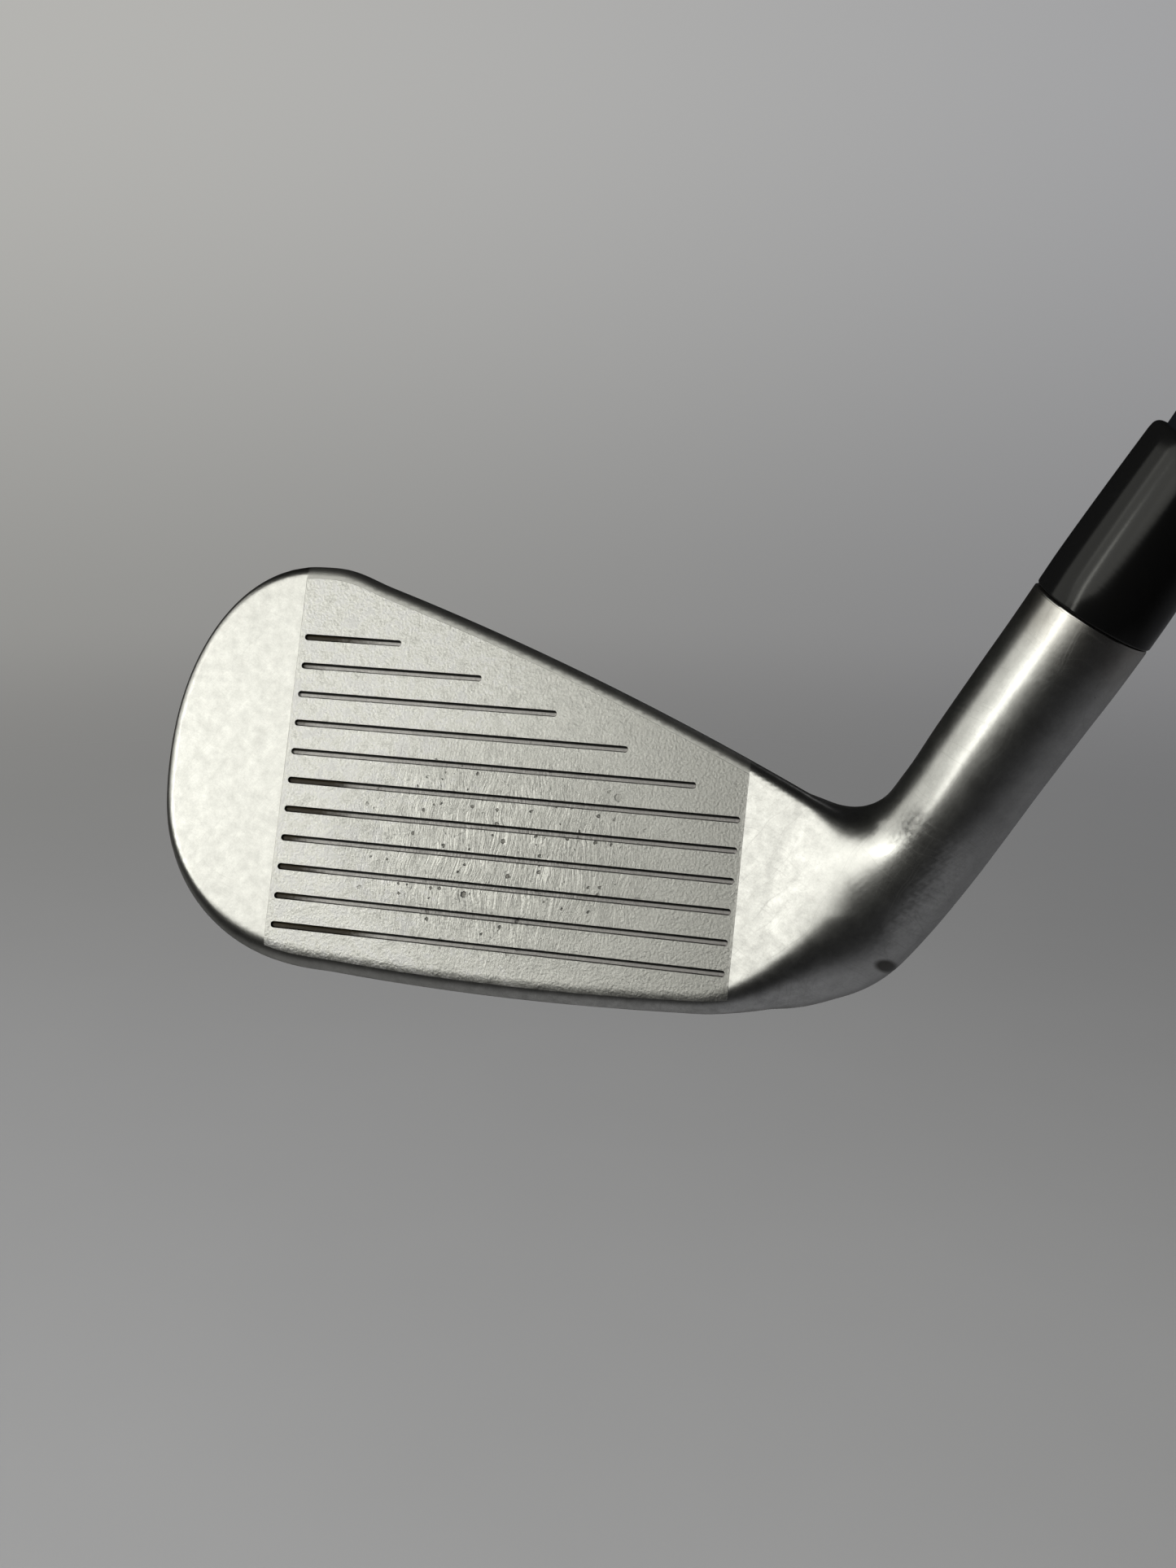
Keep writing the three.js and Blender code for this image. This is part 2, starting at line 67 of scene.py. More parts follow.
def head_to_row(points):
    """Head-frame millimetres to row-frame metres."""
    return np.asarray(points) @ HEAD_NP.T * MM


def row_to_head(points):
    """Row-frame millimetres to head-frame millimetres."""
    return np.asarray(points) @ HEAD_NP


def on_axis(along):
    """The row-frame point, in millimetres, this far along the shaft axis."""
    return AXIS_ON_GROUND + along * SHAFT_AXIS


# ---- sizes of the head, as in the CAD ---------------------------------------------------

TOE_X, TOE_V = -43.9, 3.2
PEAK_X, PEAK_V, PEAK_BOW = -26.5, 28.2, 0.012
TOPLINE_X, TOPLINE_V, TOPLINE_SLOPE, TOPLINE_BOW = -16.0, 25.7, 0.316, 0.0015
BELLY_X = -20.0
SOLE_V, SOLE_MID_X, SOLE_CAMBER = -21.6, 2.0, 0.00145
HEEL_START_X, HEEL_X, HEEL_RISE = 24.0, 47.0, 10.0
CROTCH_X, HEEL_V = 35.0, -8.0
TOE_TOP_POWER, TOE_SOLE_POWER, PEAK_BLEND = 2.1, 2.35, 9.0
BLADE_DEPTH, MUSCLE_DEPTH, MUSCLE_TOP = 7.0, 13.0, 0.42
MUSCLE_LOW, MUSCLE_HIGH, MUSCLE_STEP = -12.0, 6.0, 4.4
MUSCLE_RUN, MUSCLE_SWELL = 13.0, 4.6
SOLE_TILT = math.radians(17)
HOSEL_R, HOSEL_TOP = 6.75, 55.9
BORE_R, BORE_BOTTOM = 4.95, 24.0
PLATE_LEFT, PLATE_RIGHT, PLATE_INSET, PLATE_THICK = -28.2, 28.3, 1.7, 2.4
SCORE_COUNT, SCORE_PITCH, SCORE_FIRST_V = 11, 3.5, -15.75
SCORE_LEFT, SCORE_LENGTH, SCORE_INSET = -27.2, 54.6, 6.3
SCORE_HALF_WIDTH, SCORE_FLOOR_HALF, SCORE_DEPTH, SCORE_SHOULDER = 0.4, 0.24, 0.4, 0.07
BADGE_PLACE, BADGE_LENGTH, BADGE_HEIGHT = (-4.0, 9.5), 36.0, 8.5
BADGE_FLOOR, BADGE_GAP, BADGE_LEAN = 6.0, 0.3, math.radians(-19)
PORT_V, PORT_W, PORT_R, PORT_FROM, PORT_TO = 1.5, -3.6, 2.05, -46.0, -38.5
SEAM = 0.02
NET_STEP = 0.5


# ---- sizes of the pieces on the shaft axis, along it from the ground --------------------

FERRULE_BASE, FERRULE_TOP = HOSEL_TOP + 0.1, HOSEL_TOP + 20.5
SHAFT_TIP, TAPER_START, GRIP_MOUTH = BORE_BOTTOM + 1, 175.0, 710.0
SHAFT_END = CLUB_LENGTH - 3.5
SHAFT_WALL = 1.4
SHAFT_TIP_R, SHAFT_FOOT_R, SHAFT_BUTT_R = 4.7, 4.9, 7.6
FERRULE_R, FERRULE_DROP, FERRULE_FOOT, FERRULE_LIP = 6.85, 0.65, 3.0, 0.9
LABEL_FROM, LABEL_TO = 560.0, 670.0
GRIP_MOUTH_R, GRIP_BUTT_R, GRIP_SWELL = 9.9, 14.6, 1.15
CAP_R, CAP_THICK, CAP_ROUND, CAP_DISH, CAP_VENT_R = 15.6, 3.2, 1.4, 0.4, 1.4
SIDES = 128
PAD_RISE = 0.45
PADS_FROM, PADS_TO = 728.0, 958.0


# ---- node helpers -----------------------------------------------------------------------

def put(tree, kind, values=None, **settings):
    """Adds a node, sets its properties, and sets or links its inputs."""
    node = tree.nodes.new(kind)
    for name, value in settings.items():
        setattr(node, name, value)
    for name, value in (values or {}).items():
        if isinstance(value, bpy.types.NodeSocket):
            tree.links.new(value, node.inputs[name])
        else:
            node.inputs[name].default_value = value
    return node


def chain(tree, operation, first, *others):
    """One arithmetic step, repeated over its terms from the left."""
    if not others:
        return put(tree, "ShaderNodeMath", {0: first}, operation=operation).outputs[0]
    result = first
    for term in others:
        result = put(tree, "ShaderNodeMath", {0: result, 1: term}, operation=operation).outputs[0]
    return result


def plus(tree, *terms):
    """The sum of its terms."""
    return chain(tree, "ADD", *terms)


def minus(tree, *terms):
    """The first term less the others."""
    return chain(tree, "SUBTRACT", *terms)


def times(tree, *terms):
    """The product of its terms."""
    return chain(tree, "MULTIPLY", *terms)


def ratio(tree, *terms):
    """The first term divided by the others."""
    return chain(tree, "DIVIDE", *terms)


def between(tree, value, low, high, to_low=0.0, to_high=1.0):
    """A soft step: to_low at low, to_high at high."""
    values = {"Value": value, "From Min": low, "From Max": high,
              "To Min": to_low, "To Max": to_high}
    return put(tree, "ShaderNodeMapRange", values, interpolation_type="SMOOTHSTEP").outputs[0]


def cloud(tree, place, scale, detail=2.0, rough=0.5, bend=0.0):
    """Soft noise from 0 to 1, with features 1/scale wide."""
    values = {"Vector": place, "Scale": scale, "Detail": detail, "Roughness": rough,
              "Distortion": bend}
    return put(tree, "ShaderNodeTexNoise", values).outputs["Fac"]


def tint(tree, factor, first, second, blend="MIX"):
    """Mixes two colours."""
    colours = [(*c, 1) if isinstance(c, tuple) else c for c in (first, second)]
    values = {0: factor, 6: colours[0], 7: colours[1]}
    return put(tree, "ShaderNodeMix", values, data_type="RGBA", blend_type=blend).outputs[2]


def layer(tree, base, mask, share, colour):
    """Lays a colour over a base where the mask is on, as strongly as its share."""
    return tint(tree, times(tree, mask, share), base, colour)


def toned(tree, colour, tone):
    """A colour made lighter and darker by a tone near 1."""
    grey_tone = put(tree, "ShaderNodeCombineColor", {i: tone for i in range(3)}).outputs[0]
    return tint(tree, 1.0, colour, grey_tone, "MULTIPLY")


def placed(tree, source, scale=(1, 1, 1), turn=(0, 0, 0), shift=(0, 0, 0)):
    """A place scaled, turned and moved."""
    values = {"Vector": source, "Location": shift, "Rotation": turn, "Scale": scale}
    return put(tree, "ShaderNodeMapping", values).outputs[0]


def axis_of(tree, place):
    """The three parts of a place."""
    return put(tree, "ShaderNodeSeparateXYZ", {0: place}).outputs


def shader_group(name, inputs, outputs):
    """An empty shader node group with named inputs (name, value) and outputs (name, kind)."""
    group = bpy.data.node_groups.new(name, "ShaderNodeTree")
    for label, value in inputs:
        kind = "NodeSocketVector" if isinstance(value, tuple) else "NodeSocketFloat"
        socket = group.interface.new_socket(label, in_out="INPUT", socket_type=kind)
        socket.default_value = value
    for label, kind in outputs:
        group.interface.new_socket(label, in_out="OUTPUT", socket_type=kind)
    source = group.nodes.new("NodeGroupInput").outputs
    return group, source, group.nodes.new("NodeGroupOutput").inputs


FLOAT = "NodeSocketFloat"


def fine_grain_group():
    """Pitted grain: a height for the bump and a speckle for the tone."""
    group, given, out = shader_group(
        "fine grain", [("Place", (0, 0, 0)), ("Size", 0.3), ("Depth", 0.01)],
        [("Height", FLOAT), ("Speckle", FLOAT)])
    pitch = ratio(group, 1.0, given["Size"])
    soft = cloud(group, given["Place"], pitch, 3.0, 0.6)
    pits = put(group, "ShaderNodeTexVoronoi", {"Vector": given["Place"], "Scale": pitch},
               feature="SMOOTH_F1").outputs["Distance"]
    grain = plus(group, soft, times(group, pits, 0.5))
    group.links.new(times(group, grain, given["Depth"]), out["Height"])
    group.links.new(between(group, grain, 0.45, 1.0), out["Speckle"])
    return group


def mottle_group():
    """Broad uneven patches of polish: a tone near 1 and a change of roughness near 0."""
    group, given, out = shader_group(
        "mottled polish", [("Place", (0, 0, 0)), ("Patch", 6.0), ("Tone", 0.1), ("Dull", 0.05)],
        [("Tone", FLOAT), ("Dull", FLOAT)])
    broad = cloud(group, given["Place"], ratio(group, 1.0, given["Patch"]), 4.0, 0.6)
    fine = cloud(group, given["Place"], ratio(group, 6.0, given["Patch"]), 5.0, 0.7, 0.6)
    both = plus(group, times(group, broad, 0.6), times(group, fine, 0.4), -0.5)
    tone = plus(group, 1.0, times(group, both, given["Tone"]))
    group.links.new(tone, out["Tone"])
    group.links.new(times(group, both, given["Dull"]), out["Dull"])
    return group


def scratches_group():
    """Thin scratches that run along the local x axis; Turn sets their direction."""
    group, given, out = shader_group(
        "fine scratches", [("Place", (0, 0, 0)), ("Turn", (0, 0, 0)), ("Length", 9.0),
                           ("Width", 0.08), ("Share", 0.1)], [("Mask", FLOAT)])
    turned = put(group, "ShaderNodeMapping", {"Vector": given["Place"], "Rotation": given["Turn"]})
    parts = axis_of(group, turned.outputs[0])
    bend = cloud(group, turned.outputs[0], 0.15, 1.0)
    across = plus(group, parts[1], times(group, bend, 3.0))
    along = ratio(group, parts[0], given["Length"])
    across = ratio(group, across, given["Width"])
    deep = ratio(group, parts[2], given["Length"])
    stretched = put(group, "ShaderNodeCombineXYZ", {0: along, 1: across, 2: deep}).outputs[0]
    streak = cloud(group, stretched, 1.0, 0.0)
    limit = minus(group, 0.8, given["Share"])
    band = plus(group, limit, 0.06)
    group.links.new(between(group, streak, limit, band), out["Mask"])
    return group


def specks_group():
    """Scattered small nicks and specks of uneven size."""
    group, given, out = shader_group(
        "specks", [("Place", (0, 0, 0)), ("Spacing", 1.5), ("Size", 0.15), ("Share", 0.3)],
        [("Mask", FLOAT)])
    pitch = ratio(group, 1.0, given["Spacing"])
    bend = put(group, "ShaderNodeTexNoise",
               {"Vector": given["Place"], "Scale": 3.0, "Detail": 2.0}).outputs["Color"]
    bent = put(group, "ShaderNodeVectorMath", {0: bend, 1: (0.4, 0.4, 0.4)},
               operation="MULTIPLY").outputs[0]
    bent = put(group, "ShaderNodeVectorMath", {0: given["Place"], 1: bent},
               operation="ADD").outputs[0]
    cells = put(group, "ShaderNodeTexVoronoi", {"Vector": bent, "Scale": pitch})
    near = times(group, cells.outputs["Distance"], given["Spacing"])
    chance = axis_of(group, cells.outputs["Color"])
    size = times(group, given["Size"], chance[1])
    dot = between(group, near, times(group, size, 0.6), size, 1.0, 0.0)
    kept = chain(group, "LESS_THAN", chance[0], given["Share"])
    group.links.new(times(group, dot, kept), out["Mask"])
    return group


def spot_group():
    """One soft-edged oval mark."""
    group, given, out = shader_group(
        "spot", [("Place", (0, 0, 0)), ("Centre", (0, 0, 0)), ("Size", (1, 1, 1)), ("Soft", 0.2)],
        [("Mask", FLOAT)])
    offset = put(group, "ShaderNodeVectorMath", {0: given["Place"], 1: given["Centre"]},
                 operation="SUBTRACT").outputs[0]
    scaled = put(group, "ShaderNodeVectorMath", {0: offset, 1: given["Size"]},
                 operation="DIVIDE").outputs[0]
    away = put(group, "ShaderNodeVectorMath", {0: scaled}, operation="LENGTH").outputs["Value"]
    inner = minus(group, 1.0, given["Soft"])
    group.links.new(between(group, away, inner, 1.0, 1.0, 0.0), out["Mask"])
    return group


GRAIN, MOTTLE, SCRATCHES = fine_grain_group(), mottle_group(), scratches_group()
SPECKS, SPOT = specks_group(), spot_group()


def use(tree, group, **values):
    """Places a shader group; underscores in the names stand for spaces."""
    node = tree.nodes.new("ShaderNodeGroup")
    node.node_tree = group
    for name, value in values.items():
        socket = node.inputs[name.replace("_", " ")]
        if isinstance(value, bpy.types.NodeSocket):
            tree.links.new(value, socket)
        else:
            socket.default_value = value
    return node.outputs


# ---- materials --------------------------------------------------------------------------

class Finish:
    """A new material, its node tree and its shader."""

    def __init__(self, name, roughness, metallic=0.0):
        """An even finish, ready for its detail."""
        self.material = bpy.data.materials.new(name)
        self.material.use_nodes = True
        self.tree = self.material.node_tree
        self.shader = self.tree.nodes["Principled BSDF"]
        self.shader.inputs["Roughness"].default_value = roughness
        self.shader.inputs["Metallic"].default_value = metallic
        self.object_place = put(self.tree, "ShaderNodeTexCoord").outputs["Object"]

    def head_place(self):
        """Millimetres in the head frame."""
        turn = HEAD.transposed().to_euler("XYZ")
        return placed(self.tree, self.object_place, (1 / MM,) * 3, tuple(turn))

    def shaft_place(self):
        """Millimetres across the shaft, and along it in z."""
        back = SHAFT_TURN.transposed()
        shift = -(back @ AXIS_ON_GROUND)
        return placed(self.tree, self.object_place, (1 / MM,) * 3, tuple(back.to_euler("XYZ")),
                      tuple(shift))

    def feed(self, name, socket):
        """Links a value or colour to one of the shader's inputs."""
        self.tree.links.new(socket, self.shader.inputs[name])

    def bump(self, height):
        """Fine relief from a height in millimetres."""
        node = put(self.tree, "ShaderNodeBump",
                   {"Height": height, "Distance": MM, "Strength": 1.0})
        self.feed("Normal", node.outputs[0])


def grey(level, warm=0.0):
    """A neutral metal tone; warm lowers the blue."""
    return (level, level, level * (1 - warm))


def blasted_border(tree, place):
    """Where the blasting of the face runs on past the plate, up to the topline."""
    x, v, w = axis_of(tree, place)
    run = minus(tree, x, TOPLINE_X)
    slope = plus(tree, TOPLINE_SLOPE, times(tree, run, TOPLINE_BOW))
    below_top = minus(tree, TOPLINE_V, times(tree, run, slope), v)
    crown = minus(tree, PEAK_V, v)
    near_top = between(tree, chain(tree, "MINIMUM", below_top, crown), 2.6, 2.2)
    sides = times(tree, between(tree, x, PLATE_RIGHT + 0.1, PLATE_RIGHT - 0.1),
                  between(tree, x, PLATE_LEFT - 0.1, PLATE_LEFT + 0.1))
    return times(tree, near_top, sides, between(tree, w, -1.2, -0.6))


def satin_chrome():
    """Satin chrome plate on the head: faint mottling, scuffs, a few old marks, and painted shade on
    the toe end.
    """
    finish = Finish("satin_chrome", 0.27, 1)
    tree, place = finish.tree, finish.head_place()
    mottle = use(tree, MOTTLE, Place=place, Patch=2.2, Tone=0.85, Dull=0.08)
    grain = use(tree, GRAIN, Place=place, Size=0.4, Depth=0.0025)
    scuffs = use(tree, SCRATCHES, Place=place, Turn=(0, 0, 0.5), Length=7.0, Width=0.12, Share=0.12)
    long_scuffs = use(tree, SCRATCHES, Place=place, Turn=(0.3, 0.2, -0.9), Length=16.0, Width=0.1,
                      Share=0.1)
    nicks = use(tree, SPECKS, Place=place, Spacing=2.6, Size=0.2, Share=0.3)
    heel_mark = use(tree, SPOT, Place=place, Centre=(45.2, -12.9, -8.0), Size=(1.6, 1.0, 14.0),
                    Soft=0.5)
    shaft = finish.shaft_place()
    along = axis_of(tree, shaft)[2]
    stain = times(tree, between(tree, along, 48.0, 56.0), cloud(tree, shaft, 0.22, 3.0))
    worn = chain(tree, "MAXIMUM", scuffs["Mask"], long_scuffs["Mask"])
    across = axis_of(tree, place)[0]
    etched = use(tree, MOTTLE, Place=place, Patch=1.3, Dull=0.05,
                 Tone=between(tree, across, 42.0, 34.0, 0.1, 1.3))
    tone = times(tree, mottle["Tone"], etched["Tone"])
    base = toned(tree, grey(0.84, 0.02), tone)
    base = layer(tree, base, worn, 0.25, (0.62, 0.62, 0.6))
    base = layer(tree, base, stain, 0.5, (0.42, 0.34, 0.26))
    dark = chain(tree, "MAXIMUM", times(tree, nicks["Mask"], 0.5),
                 times(tree, heel_mark["Mask"], 0.9))
    # Painted shade: the toe end is darkened so that it reads less bright under the lights.
    toe_painted_shade = between(tree, across, 8.0, -10.0)
    base = layer(tree, base, toe_painted_shade, 0.4, (0.58, 0.58, 0.56))
    blasted = blasted_border(tree, place)
    base = layer(tree, base, blasted, 0.5, (0.55, 0.55, 0.53))
    finish.feed("Base Color", tint(tree, dark, base, (0.09, 0.085, 0.075)))
    finish.feed("Roughness", plus(tree, 0.29, mottle["Dull"], times(tree, blasted, 0.19),
                                  times(tree, worn, 0.05)))
    height = minus(tree, grain["Height"], times(tree, worn, 0.0004),
                   times(tree, nicks["Mask"], 0.015))
    finish.bump(height)
    return finish.material


def blasted_face():
    """Blasted strike face: matt grain, ball marks in the middle, dirt and painted shade and
    reflection in the score lines, and painted shade towards the heel.
    """
    finish = Finish("blasted_face", 0.48, 1)
    tree, place = finish.tree, finish.head_place()
    x, v, w = axis_of(tree, place)
    mottle = use(tree, MOTTLE, Place=place, Patch=4.5, Tone=0.75, Dull=0.2)
    etched = use(tree, MOTTLE, Place=place, Patch=1.6, Tone=2.4, Dull=0.4)
    grain = use(tree, GRAIN, Place=place, Size=0.32, Depth=0.05)
    strike = use(tree, SPOT, Place=place, Centre=(-1.0, -4.5, 0), Size=(24.0, 17.0, 9.0), Soft=0.9)
    # Painted shade: the face is darkened towards the heel, where its reflection of the light falls
    # off.
    heel_painted_shade = between(tree, x, -20.0, 34.0)
    marks = use(tree, SCRATCHES, Place=place, Turn=(0, 0, 1.62), Length=4.0, Width=0.12, Share=0.3)
    fine_marks = use(tree, SCRATCHES, Place=place, Turn=(0, 0, 1.5), Length=2.2, Width=0.1,
                     Share=0.2)
    specks = use(tree, SPECKS, Place=place, Spacing=1.0, Size=0.3, Share=0.5)
    pits = use(tree, SPECKS, Place=place, Spacing=4.0, Size=0.7, Share=0.5)
    worn = times(tree, strike["Mask"],
                 chain(tree, "MAXIMUM", marks["Mask"], fine_marks["Mask"]))
    struck = times(tree, chain(tree, "MAXIMUM", specks["Mask"], pits["Mask"]),
                   between(tree, strike["Mask"], 0.0, 0.5))
    rim = chain(tree, "MAXIMUM", between(tree, x, PLATE_RIGHT - 0.4, PLATE_RIGHT),
                between(tree, x, PLATE_LEFT + 0.4, PLATE_LEFT))
    turn = ratio(tree, minus(tree, v, SCORE_FIRST_V), SCORE_PITCH)
    turn = chain(tree, "FRACT", plus(tree, turn, 0.5))
    beside = times(tree, minus(tree, turn, 0.5), SCORE_PITCH)
    deep = times(tree, between(tree, w, -0.02, -0.1),
                 between(tree, chain(tree, "ABSOLUTE", beside), 0.55, 0.5),
                 chain(tree, "GREATER_THAN", v, SCORE_FIRST_V - 1))
    # Painted shade on the score lines' walls: a near-black line along the upper wall and a dark line
    # along the lower wall.
    upper_wall_painted_shade = times(tree, deep, between(tree, beside, 0.04, 0.15))
    lower_wall_painted_shade = times(tree, deep, between(tree, beside, -0.24, -0.3))
    rows = cloud(tree, placed(tree, place, (0.03, 0.37, 0.0)), 1.0, 0.0)
    crumbs = cloud(tree, place, 1.6, 3.0, 0.6)
    reach = plus(tree, x, times(tree, rows, -22.0),
                 between(tree, v, 6.0, -2.0, 0.0, -3.5),
                 times(tree, crumbs, -4.0))
    grime = times(tree, deep, between(tree, reach, -40.8, -35.0, 0.92, 0.0))
    tone = times(tree, mottle["Tone"], etched["Tone"])
    base = toned(tree, grey(1.0, 0.03), tone)
    base = layer(tree, base, heel_painted_shade, 0.72, (0.5, 0.5, 0.48))
    base = layer(tree, base, strike["Mask"], 0.25, (0.5, 0.5, 0.46))
    base = layer(tree, base, worn, 0.5, (0.92, 0.92, 0.89))
    base = layer(tree, base, struck, 0.7, (0.12, 0.11, 0.09))
    base = layer(tree, base, rim, 0.5, (0.95, 0.95, 0.92))
    # Painted shade and painted reflection: the inside of each score line is darkened with a faint
    # lilac tint.
    base = layer(tree, base, deep, 0.45, (0.62, 0.58, 0.6))
    # Painted shade: dark lower wall and near-black upper wall in each score line.
    base = layer(tree, base, lower_wall_painted_shade, 0.75, (0.06, 0.055, 0.05))
    base = layer(tree, base, upper_wall_painted_shade, 0.95, (0.01, 0.01, 0.01))
    finish.feed("Base Color", tint(tree, grime, base, (0.05, 0.04, 0.024)))
    finish.feed("Roughness", plus(tree, 0.47, mottle["Dull"], etched["Dull"],
                                  times(tree, worn, -0.1),
                                  times(tree, deep, 0.15)))
    height = minus(tree, grain["Height"], times(tree, worn, 0.05), times(tree, struck, 0.09))
    finish.bump(height)
    return finish.material


def black_gloss(name, roughness, colour, ring_depth):
    """Turned black plastic or lacquer with faint turning rings and handling marks."""
    finish = Finish(name, roughness)
    tree, place = finish.tree, finish.shaft_place()
    rings = cloud(tree, placed(tree, place, (0.02, 0.02, 3.0)), 1.0, 3.0)
    marks = use(tree, SCRATCHES, Place=place, Turn=(0, 0.9, 0.4), Length=5.0, Width=0.05, Share=0.04)
    mottle = use(tree, MOTTLE, Place=place, Patch=3.0, Tone=0.3, Dull=0.06)
    dust = use(tree, SPECKS, Place=place, Spacing=2.4, Size=0.12, Share=0.3)
    base = tint(tree, times(tree, marks["Mask"], 0.3), colour,
                tuple(c * 3 + 0.004 for c in colour))
    base = layer(tree, base, dust["Mask"], 0.12, (0.08, 0.08, 0.07))
    finish.feed("Base Color", base)
    finish.feed("Roughness", plus(tree, roughness, mottle["Dull"],
                                  times(tree, marks["Mask"], 0.04)))
    finish.bump(times(tree, rings, ring_depth))
    finish.shader.inputs["Specular IOR Level"].default_value = 0.42
    return finish.material


def shaft_label_film():
    """Satin film round the shaft with plain silver and grey bands."""
    finish = Finish("label_film", 0.3)
    tree, place = finish.tree, finish.shaft_place()
    along = axis_of(tree, place)[2]
    wave = chain(tree, "PINGPONG", minus(tree, along, LABEL_FROM), (LABEL_TO - LABEL_FROM) / 2)
    band = minus(tree, between(tree, wave, 6.0, 6.3), between(tree, wave, 9.0, 9.3))
    thin = minus(tree, between(tree, wave, 12.0, 12.2), between(tree, wave, 13.2, 13.4))
    panel = between(tree, wave, 24.0, 24.4)
    mottle = use(tree, MOTTLE, Place=place, Patch=5.0, Tone=0.2, Dull=0.1)
    base = tint(tree, band, (0.012, 0.012, 0.014), (0.55, 0.55, 0.56))
    base = tint(tree, thin, base, (0.40, 0.06, 0.04))
    base = tint(tree, panel, base, (0.10, 0.10, 0.11))
    grain = use(tree, GRAIN, Place=place, Size=0.4, Depth=0.003)
    base = layer(tree, base, grain["Speckle"], 0.15, (0.3, 0.3, 0.3))
    finish.feed("Base Color", base)
    finish.feed("Roughness", plus(tree, 0.3, mottle["Dull"]))
    finish.bump(grain["Height"])
    return finish.material


def grip_rubber():
    """Moulded rubber: fine leathery grain, a little shine and dust where it is held."""
    finish = Finish("grip_rubber", 0.72)
    tree, place = finish.tree, finish.shaft_place()
    along = axis_of(tree, place)[2]
    grain = use(tree, GRAIN, Place=place, Size=0.7, Depth=0.03)
    mottle = use(tree, MOTTLE, Place=place, Patch=22.0, Tone=0.5, Dull=0.2)
    dust = use(tree, SPECKS, Place=place, Spacing=1.6, Size=0.2, Share=0.3)
    held = times(tree, between(tree, along, 780.0, 830.0), between(tree, along, 960.0, 900.0))
    base = toned(tree, (0.022, 0.022, 0.023), mottle["Tone"])
    base = layer(tree, base, dust["Mask"], 0.35, (0.11, 0.105, 0.095))
    finish.feed("Base Color", base)
    finish.feed("Roughness", plus(tree, 0.74, mottle["Dull"], times(tree, held, -0.14)))
    finish.bump(grain["Height"])
    return finish.material


def metal_stock(name, colour, roughness, size, depth, turn=(0, 0, 0)):
    """Machined or cast metal: brushed lines, grain and small dark specks."""
    finish = Finish(name, roughness, 1)
    tree, place = finish.tree, finish.head_place()
    mottle = use(tree, MOTTLE, Place=place, Patch=3.0, Tone=0.3, Dull=0.12)
    grain = use(tree, GRAIN, Place=place, Size=size, Depth=depth)
    brushed = use(tree, SCRATCHES, Place=place, Turn=turn, Length=12.0, Width=0.1, Share=0.22)
    specks = use(tree, SPECKS, Place=place, Spacing=1.6, Size=0.15, Share=0.3)
    base = toned(tree, colour, mottle["Tone"])
    base = layer(tree, base, brushed["Mask"], 0.3, tuple(min(1, c * 1.25) for c in colour))
    base = layer(tree, base, specks["Mask"], 0.5, tuple(c * 0.3 for c in colour))
    finish.feed("Base Color", base)
    finish.feed("Roughness", plus(tree, roughness, mottle["Dull"],
                                  times(tree, brushed["Mask"], 0.05)))
    finish.bump(plus(tree, grain["Height"], times(tree, brushed["Mask"], 0.004)))
    return finish.material


def soft_stock(name, colour, flecks, roughness, size, depth):
    """Foam, tape or cured resin: a grained body with flecks of a second tone."""
    finish = Finish(name, roughness)
    tree, place = finish.tree, finish.head_place()
    mottle = use(tree, MOTTLE, Place=place, Patch=4.0, Tone=0.4, Dull=0.15)
    grain = use(tree, GRAIN, Place=place, Size=size, Depth=depth)
    base = toned(tree, colour, mottle["Tone"])
    finish.feed("Base Color", tint(tree, times(tree, grain["Speckle"], 0.5), base, flecks))
    finish.feed("Roughness", plus(tree, roughness, mottle["Dull"]))
    finish.bump(grain["Height"])
    return finish.material


CHROME, FACE = satin_chrome(), blasted_face()
FERRULE_BLACK = black_gloss("ferrule_black", 0.16, (0.006, 0.006, 0.006), 0.004)
SHAFT_LACQUER = black_gloss("shaft_lacquer", 0.1, (0.008, 0.009, 0.011), 0.002)
LABEL, RUBBER = shaft_label_film(), grip_rubber()
CAD_FINISHES = {
    "foam_core": soft_stock("urethane_foam", (0.62, 0.55, 0.38), (0.8, 0.74, 0.6), 0.9, 0.8, 0.2),
    "badge_adhesive": soft_stock("bond_tape", (0.5, 0.5, 0.47), (0.7, 0.7, 0.68), 0.7, 0.5, 0.03),
    "hosel_epoxy": soft_stock("epoxy", (0.46, 0.34, 0.14), (0.6, 0.5, 0.3), 0.25, 0.6, 0.02),
    "grip_tape": soft_stock("grip_tape", (0.68, 0.62, 0.48), (0.8, 0.76, 0.66), 0.85, 0.5, 0.03),
    "toe_weight": metal_stock("tungsten", (0.36, 0.36, 0.35), 0.4, 0.4, 0.02),
    "toe_port_screw": metal_stock("screw_steel", (0.58, 0.57, 0.55), 0.26, 0.3, 0.004),
    "tip_weight": metal_stock("tip_brass", (0.76, 0.56, 0.26), 0.3, 0.3, 0.004),
    "back_badge": metal_stock("badge_alloy", (0.34, 0.35, 0.37), 0.34, 0.25, 0.004,
                              (0, 0, BADGE_LEAN)),
}


# ---- outline of the head ----------------------------------------------------------------

def smooth(low, high, value):
    """A soft step from 0 at low to 1 at high."""
    t = np.clip((value - low) / (high - low), 0.0, 1.0)
    return t * t * (3 - 2 * t)


def rounded_quarter(t, power):
    """Falls from 1 to 0 along a quarter of a rounded square; power 2 is a circle."""
    t = np.clip(t, 0.0, 1.0)
    return (1 - t ** power) ** (1 / power)


